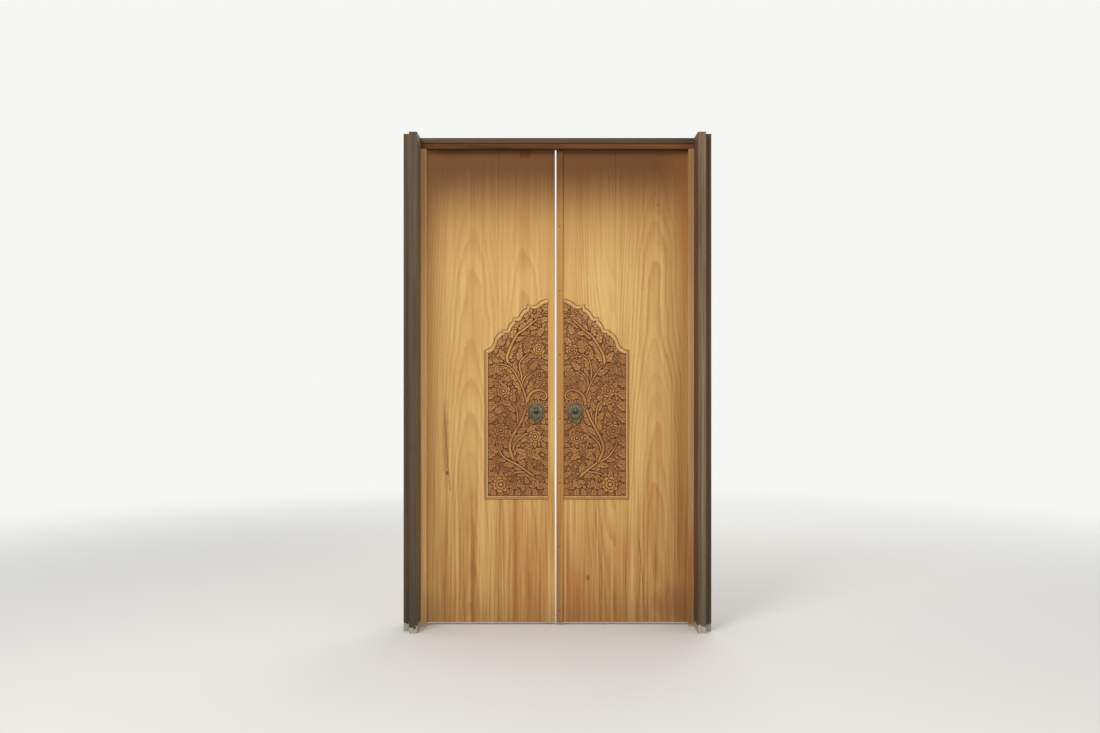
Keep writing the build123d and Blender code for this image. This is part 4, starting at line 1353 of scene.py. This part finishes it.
def plate_lift(r, turn):
    """How high a place of a pull's plate stands over its seat, in millimetres."""
    if r <= BOSS_RADIUS:
        dome = math.sqrt(max(0.0, 1 - (r / (BOSS_RADIUS + 0.5)) ** 2))
        return PLATE_THICKNESS + 0.2 + 1.9 * dome
    if r < PETAL_REACH:
        swell = math.sin(math.pi * (r - BOSS_RADIUS) / (PETAL_REACH - BOSS_RADIUS)) ** 0.7
        return PLATE_THICKNESS + 1.7 * abs(math.cos(7 * turn)) ** 0.6 * swell
    if PETAL_REACH + 1 < r < PETAL_REACH + 5:
        return PLATE_THICKNESS + 1.2
    return PLATE_THICKNESS


def plate_mesh(side):
    """A cast plate with petals in relief round a raised boss."""
    rings, sides = 26, 112
    points = []
    for k in range(1, rings + 1):
        r = PLATE_RADIUS * k / rings
        for i in range(sides):
            turn = math.tau * i / sides
            edge = 1 - 0.025 * (1 - abs(math.cos(14 * turn))) if k > rings - 3 else 1
            lift = 0.0 if k == rings else plate_lift(r, turn)
            points.append((
                (PULL_X[side] + r * edge * math.cos(turn)) * MM,
                (SEAT_Y - lift) * MM,
                (PULL_Z + r * edge * math.sin(turn)) * MM,
            ))
    faces = band_faces(rings, sides)
    for first in (0, (rings - 1) * sides):
        faces.append([first + i for i in range(sides)])
    return mesh_from(points, faces)


def hoop_mesh(side):
    """A round ring, a little thinner at the eye, with two collars beside its lowest point."""
    around, section = 96, 16
    points = []
    for i in range(around):
        angle = math.tau * i / around
        turn, low = angle + math.pi / 2, abs(angle - math.pi)
        wire = WIRE_RADIUS * (0.86 + 0.11 * (0.5 - 0.5 * math.cos(angle)))
        for collar in (0.32, 0.46):
            wire += 0.45 * math.exp(-((low - collar) / 0.035) ** 2)
        wire = min(wire, WIRE_RADIUS)
        for j in range(section):
            roll = math.tau * j / section
            reach = RING_RADIUS + wire * math.cos(roll)
            points.append((
                (PULL_X[side] + reach * math.cos(turn)) * MM,
                (RING_Y + wire * math.sin(roll)) * MM,
                (EYE_Z - RING_RADIUS + reach * math.sin(turn)) * MM,
            ))
    return mesh_from(points, band_faces(around, section, closed_rows=True))


def head_object(name, rings, slot=False):
    """A head of unit radius that points up, turned from its outline: domed, or with a slot."""
    points = []
    for radius, height in rings:
        for i in range(HEAD_SIDES):
            turn = math.tau * i / HEAD_SIDES
            x, y = radius * math.cos(turn), radius * math.sin(turn)
            sunk = 0.3 if slot and abs(y) < 0.2 and radius < 0.95 else 0.0
            points.append((x, y, height - sunk))
    faces = band_faces(len(rings), HEAD_SIDES)
    faces.append(list(range(HEAD_SIDES))[::-1])
    faces.append([len(points) - HEAD_SIDES + i for i in range(HEAD_SIDES)])
    form = bpy.data.objects.new(name, mesh_from(points, faces, smooth=not slot))
    bpy.context.scene.collection.objects.link(form)
    return form


# Operators


class DOOR_OT_shader_groups(bpy.types.Operator):
    """Build the shader and geometry groups that the pieces share"""

    bl_idname = "door.shader_groups"
    bl_label = "Shared groups"

    def execute(self, context):
        build_grain_group()
        build_knot_group()
        build_crack_group()
        build_foot_group()
        build_heads_tree()
        build_beads_tree()
        return {"FINISHED"}


class DOOR_OT_boards(bpy.types.Operator):
    """Finish the wide boards of both leaves and the meeting strip"""

    bl_idname = "door.boards"
    bl_label = "Boards"

    def execute(self, context):
        settings = context.scene.door_settings
        light, dark = settings.board_light, settings.board_dark
        # Each tone: axis, where it starts and is full, colour, strength. The first two tones darken
        # the boards towards the top: painted shade under the head. The third makes them a darker
        # orange towards the bottom, and the edge tones darken them towards the outer edges.
        top_shade_and_low_tone = [
            (2, 1.72, 2.12, (0.40, 0.195, 0.058), 0.68),
            (2, 1.99, 2.33, (0.120, 0.042, 0.008), 0.94),
            (2, 0.95, 0.10, (0.44, 0.21, 0.06), 0.2),
        ]
        left_edge = (0, -0.56, -0.68, (0.40, 0.20, 0.07), 0.5)
        right_edge = (0, 0.50, 0.68, (0.33, 0.125, 0.032), 0.62)
        boards = {
            "left_outer_board": dict(
                seed=3.0, pith=(-0.44, 0.09), lean=0.05, ring=0.0105, waviness=0.045,
                knots=[(-0.561, 0.772, 0.012)],
                cracks=[(-0.583, 0.073, 0.68, 1.185, 0.0034)],
                stains=[(-0.568, 0.92, 0.022, 0.26, (0.30, 0.115, 0.04), 0.5)],
                tones=[*top_shade_and_low_tone, left_edge],
            ),
            "left_inner_board": dict(
                seed=9.0, pith=(-0.17, 0.11), lean=0.045, ring=0.0115, waviness=0.04,
                tones=top_shade_and_low_tone,
                stains=[(-0.165, 2.40, 0.022, 0.018, (0.10, 0.045, 0.02), 0.8)],
            ),
            "right_inner_board": dict(
                seed=15.0, pith=(0.30, 0.24), lean=-0.04, ring=0.0095, waviness=0.035,
                tones=[*top_shade_and_low_tone, (2, 0.62, 0.05, (0.36, 0.13, 0.035), 0.45)],
                knots=[(0.156, 0.237, 0.016)],
            ),
            "right_outer_board": dict(
                seed=21.0, pith=(0.50, 0.10), lean=0.045, ring=0.010, waviness=0.045,
                knots=[(0.513, 2.135, 0.010)],
                cracks=[(0.406, 0.087, 0.03, 0.545, 0.0036)],
                stains=[(0.60, 0.11, 0.13, 0.12, (0.17, 0.055, 0.03), 0.55)],
                tones=[*top_shade_and_low_tone, right_edge, (2, 0.75, 0.05, (0.36, 0.14, 0.04), 0.35)],
            ),
            "meeting_strip": dict(
                seed=27.0, pith=(0.2, 0.1), lean=0.01, ring=0.007,
                tones=[*top_shade_and_low_tone, (2, 0.62, 0.05, (0.30, 0.11, 0.035), 0.5)],
            ),
        }
        for name, values in boards.items():
            woods = STRIP_WOODS if name == "meeting_strip" else (light, dark)
            finish_node([name], timber(f"{name}_teak", *woods, **values))
        return {"FINISHED"}


class DOOR_OT_frame_timber(bpy.types.Operator):
    """Finish the jambs, the head and the pegs"""

    bl_idname = "door.frame_timber"
    bl_label = "Frame"

    def execute(self, context):
        # One wood for both jambs, painted lighter on the left as painted light and darker on the
        # right as painted shade; each darkens towards the top as painted shade under the head.
        for side, shade, seed in (("left", 1.4, 57.4), ("right", 0.93, 38.13)):
            jamb = timber(
                f"{side}_jamb_teak", *(darker(wood, shade) for wood in JAMB_WOODS), seed,
                pith=(0.3, 0.2), ring=0.006, tones=[(2, 1.5, 2.45, (0.24, 0.12, 0.05), 0.6)],
                foot=(0.3, 12 * MM),
            )
            finish_node([f"{side}_jamb"], jamb)
        head = timber(
            "head_teak", *SHADED_HEAD_WOODS, 45.0, pith=(0.1, 0.2), ring=0.006, rough=0.66, across=True
        )
        finish_node(["head", "frame_pegs"], head)
        return {"FINISHED"}


class DOOR_OT_posts(bpy.types.Operator):
    """Finish the weathered posts, the strips beside them and the strip on the head"""

    bl_idname = "door.posts"
    bl_label = "Posts and strips"

    def execute(self, context):
        settings = context.scene.door_settings
        # One weathered timber, painted darker on the left post and lighter on the right one as
        # painted shade and painted light; the head strip is painted darkest, as painted shade under
        # the ceiling.
        for name, nodes, shade, seed, values in (
            ("left_post", ["left_post"], 0.58, 51.0, {"inner": LEFT_INNER_LIT}),
            ("right_post", ["right_post"], 1.5, 55.0, {"inner": RIGHT_INNER_SHADED}),
            ("cover_strip", ["left_cover_strip", "right_cover_strip"], 0.75, 59.0, {}),
            ("head_strip", ["head_strip"], 0.4, 63.0, {"across": True}),
        ):
            light = darker(settings.post_light, shade)
            wood = weathered(f"{name}_timber", light, settings.post_dark, seed, **values)
            finish_node(nodes, wood)
        return {"FINISHED"}


class DOOR_OT_carving(bpy.types.Operator):
    """Carve the relief of both panels and their borders"""

    bl_idname = "door.carving"
    bl_label = "Carving"

    def execute(self, context):
        settings = context.scene.door_settings
        wood, moulded = carved_timber(settings), moulded_timber(settings)
        for side in SIDES:
            relief = carve_panel(side, settings.relief_pitch / MM, settings.carving_seed)
            new_piece(
                f"{side}_carving", relief_mesh(relief, side), wood, f"{side}_leaf",
                [f"{side}_carved_panel"],
            )
            new_piece(
                f"{side}_carving_border", border_mesh(side), moulded, f"{side}_leaf",
                [f"{side}_carved_panel"],
            )
        return {"FINISHED"}


class DOOR_OT_pulls(bpy.types.Operator):
    """Make the plates, beads and rings of both pulls and finish their pins"""

    bl_idname = "door.pulls"
    bl_label = "Ring pulls"

    def execute(self, context):
        settings = context.scene.door_settings
        green = bronze("patinated_bronze", settings.patina, 0.35, painted_shade=0.85)
        rubbed = bronze("rubbed_bronze", darker(settings.patina, 0.7), 0.4)
        for side in SIDES:
            leaf, plate = f"{side}_leaf", f"{side}_pull_plate"
            new_piece(f"{side}_pull_face", plate_mesh(side), green, leaf, [plate])
            centre = (PULL_X[side] * MM, (SEAT_Y - BEAD_RING_DEPTH) * MM, PULL_Z * MM)
            beads = run_tree(
                "ring_of_beads",
                points_mesh([((0, 0, 0), (0, 0, 0))]),
                {
                    "Count": settings.bead_count, "Ring Radius": BEAD_RING_RADIUS * MM,
                    "Bead Radius": settings.bead_radius, "Centre": centre, "Material": green,
                },
            )
            new_piece(f"{side}_pull_beads", beads, green, leaf)
            new_piece(
                f"{side}_pull_hoop", hoop_mesh(side), rubbed, f"{side}_ring",
                [f"{side}_pull_ring"],
            )
            finish_node([f"{side}_pull_pin"], rubbed)
        return {"FINISHED"}


class DOOR_OT_ironwork(bpy.types.Operator):
    """Finish the hinges, bolts, keeps and washers"""

    bl_idname = "door.ironwork"
    bl_label = "Ironwork"

    def execute(self, context):
        names = sorted(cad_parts)
        hinges = [name for name in names if "hinge" in name]
        bolts = [name for name in names if "bolt" in name or "washer" in name]
        finish_node(hinges, forged_iron("hinge_iron_skin", HINGE_IRON, 0.5))
        finish_node(bolts, forged_iron("bolt_iron_skin", BOLT_IRON, 0.35))
        return {"FINISHED"}


class DOOR_OT_fasteners(bpy.types.Operator):
    """Set the nail heads of the meeting strip and the screws of the ironwork"""

    bl_idname = "door.fasteners"
    bl_label = "Nails and screws"

    def execute(self, context):
        settings = context.scene.door_settings
        nail = head_object("nail_head_form", DOMED_HEAD)
        screw = head_object("screw_head_form", SLOTTED_HEAD, slot=True)
        iron = forged_iron("fastener_iron", FASTENER_IRON, 0.6)
        nails = self.strip_nails(*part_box("meeting_strip_nails"))
        new_piece(
            "meeting_strip_nail_heads", self.heads(nails, nail, settings.nail_head, iron), iron,
            "right_leaf", ["meeting_strip_nails"],
        )
        places = {"frame": [], "left_leaf": [], "right_leaf": []}
        for side in SIDES:
            for number in (1, 2, 3):
                for flap, body in (("frame", "frame"), ("leaf", f"{side}_leaf")):
                    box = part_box(f"{side}_hinge_{number}_{flap}_flap")
                    places[body] += self.flap_screws(side, flap, *box)
        for name, body in (
            ("top_bolt_plate", "left_leaf"), ("bottom_bolt_plate", "left_leaf"),
            ("middle_bolt_plate", "right_leaf"), ("top_bolt_keep", "frame"),
            ("middle_bolt_keep", "left_leaf"),
        ):
            places[body] += self.plate_screws(*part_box(name))
        for body, spots in places.items():
            heads = self.heads(spots, screw, settings.screw_head, iron)
            new_piece(f"{body}_screws", heads, iron, body)
        for form in (nail, screw):
            bpy.data.objects.remove(form)
        return {"FINISHED"}

    def strip_nails(self, low, high):
        """The nails of the meeting strip, evenly spaced down its face."""
        x, y = (low.x + high.x) / 2, low.y + HEAD_SINK
        first, last = low.z + NAIL_RADIUS, high.z - NAIL_RADIUS
        step = (last - first) / (NAIL_COUNT - 1)
        return [((x, y, first + step * i), TO_FRONT) for i in range(NAIL_COUNT)]

    def flap_screws(self, side, flap, low, high):
        """Three screws in a row down a hinge flap, sunk flush."""
        outward = -SIDES[side] if flap == "frame" else SIDES[side]
        turn = (0.0, math.pi / 2 * outward, 0.0)
        x = FLAP_FACE[flap] * SIDES[side] - outward * 2 * HEAD_SINK
        middle = (low.z + high.z) / 2
        return [((x, low.y + FLAP_SETBACK, middle + step), turn) for step in FLAP_STEPS]

    def plate_screws(self, low, high):
        """Pairs of screws along a plate on the back of the door."""
        y = low.y + BACK_PLATE_FACE
        tall = high.z - low.z > high.x - low.x
        length = (high.z - low.z) if tall else (high.x - low.x)
        places = []
        for share in LONG_SCREW_PLACES if length > LONG_BACK_PLATE else SHORT_SCREW_PLACES:
            if tall:
                z = low.z + share * length
                places += [(x, y, z) for x in (low.x + BACK_PLATE_EDGE, high.x - BACK_PLATE_EDGE)]
            else:
                x = low.x + share * length
                places += [(x, y, z) for z in (low.z + BACK_PLATE_EDGE, high.z - BACK_PLATE_EDGE)]
        return [(place, TO_BACK) for place in places]

    def heads(self, places, form, radius, iron):
        """One mesh of heads on their places."""
        inputs = {"Head": form, "Radius": radius, "Material": iron}
        return run_tree("heads_on_points", points_mesh(places), inputs)


class DOOR_OT_stage(bpy.types.Operator):
    """Set the floor, the lights, the sky and the camera"""

    bl_idname = "door.stage"
    bl_label = "Stage"

    def execute(self, context):
        scene = context.scene
        corners = [(-1, -1), (1, -1), (1, 1), (-1, 1)]
        floor = bpy.data.meshes.new("floor")
        floor.from_pydata(
            [(x * FLOOR_REACH, y * FLOOR_REACH, 0) for x, y in corners], [], [[0, 1, 2, 3]]
        )
        floor.materials.append(pale_floor())
        ground = bpy.data.objects.new("floor", floor)
        scene.collection.objects.link(ground)

        for name, place, aim, width, power in LAMPS:
            lamp = bpy.data.lights.new(name, "AREA")
            lamp.size, lamp.energy, lamp.color = width, power, LAMP_COLOUR
            holder = bpy.data.objects.new(name, lamp)
            holder.location = place
            way = Vector(aim) - Vector(place)
            holder.rotation_euler = way.to_track_quat("-Z", "Y").to_euler()
            scene.collection.objects.link(holder)

        self.sky(scene)
        lens = bpy.data.cameras.new("photo_view")
        lens.lens, lens.sensor_width, lens.shift_y = CAMERA_LENS, 36.0, CAMERA_SHIFT
        camera = bpy.data.objects.new("photo_view", lens)
        camera.location = CAMERA_PLACE
        camera.rotation_euler = (math.pi / 2, 0, 0)
        scene.collection.objects.link(camera)
        scene.camera = camera
        scene.view_settings.view_transform = "Standard"
        return {"FINISHED"}

    def sky(self, scene):
        """A sky that lights the door softly and is seen as a pale plain background."""
        world = bpy.data.worlds.new("studio")
        scene.world = world
        world.use_nodes = True
        tree = world.node_tree
        tree.nodes.clear()
        path = tree.nodes.new("ShaderNodeLightPath").outputs
        camera, glossy, clear = (
            Value(tree, path[f"Is {kind} Ray"]) for kind in ("Camera", "Glossy", "Transmission")
        )
        lit, seen = (
            add_node(tree, "ShaderNodeBackground", {"Color": opaque(colour), "Strength": strength})
            for colour, strength in ((SKY_LIGHT, SKY_STRENGTH), (SKY_SEEN, 1.0))
        )
        both = add_node(
            tree, "ShaderNodeMixShader",
            {0: camera.larger(glossy.larger(clear)), 1: lit.outputs[0], 2: seen.outputs[0]},
        )
        add_node(tree, "ShaderNodeOutputWorld", {0: both.outputs[0]})


class DOOR_PT_pieces(bpy.types.Panel):
    """Lists the door's settings and the buttons of the steps that make its pieces"""

    bl_idname = "DOOR_PT_pieces"
    bl_label = "Carved temple door"
    bl_space_type = "VIEW_3D"
    bl_region_type = "UI"
    bl_category = "Door"

    def draw(self, context):
        settings = context.scene.door_settings
        for name in DoorSettings.__annotations__:
            self.layout.prop(settings, name)
        for operator in OPERATORS:
            self.layout.operator(operator.bl_idname)


OPERATORS = (
    DOOR_OT_shader_groups,
    DOOR_OT_boards,
    DOOR_OT_frame_timber,
    DOOR_OT_posts,
    DOOR_OT_carving,
    DOOR_OT_pulls,
    DOOR_OT_ironwork,
    DOOR_OT_fasteners,
    DOOR_OT_stage,
)


def register():
    """Register the settings, the operators and the panel."""
    for kind in (DoorSettings, *OPERATORS, DOOR_PT_pieces):
        bpy.utils.register_class(kind)
    bpy.types.Scene.door_settings = bpy.props.PointerProperty(type=DoorSettings)


def unregister():
    """Take them away again."""
    del bpy.types.Scene.door_settings
    for kind in reversed((DoorSettings, *OPERATORS, DOOR_PT_pieces)):
        bpy.utils.unregister_class(kind)


def main():
    """Make every piece in order."""
    register()
    bpy.ops.door.shader_groups()
    bpy.ops.door.boards()
    bpy.ops.door.frame_timber()
    bpy.ops.door.posts()
    bpy.ops.door.carving()
    bpy.ops.door.pulls()
    bpy.ops.door.ironwork()
    bpy.ops.door.fasteners()
    bpy.ops.door.stage()


if __name__ == "__main__":
    main()
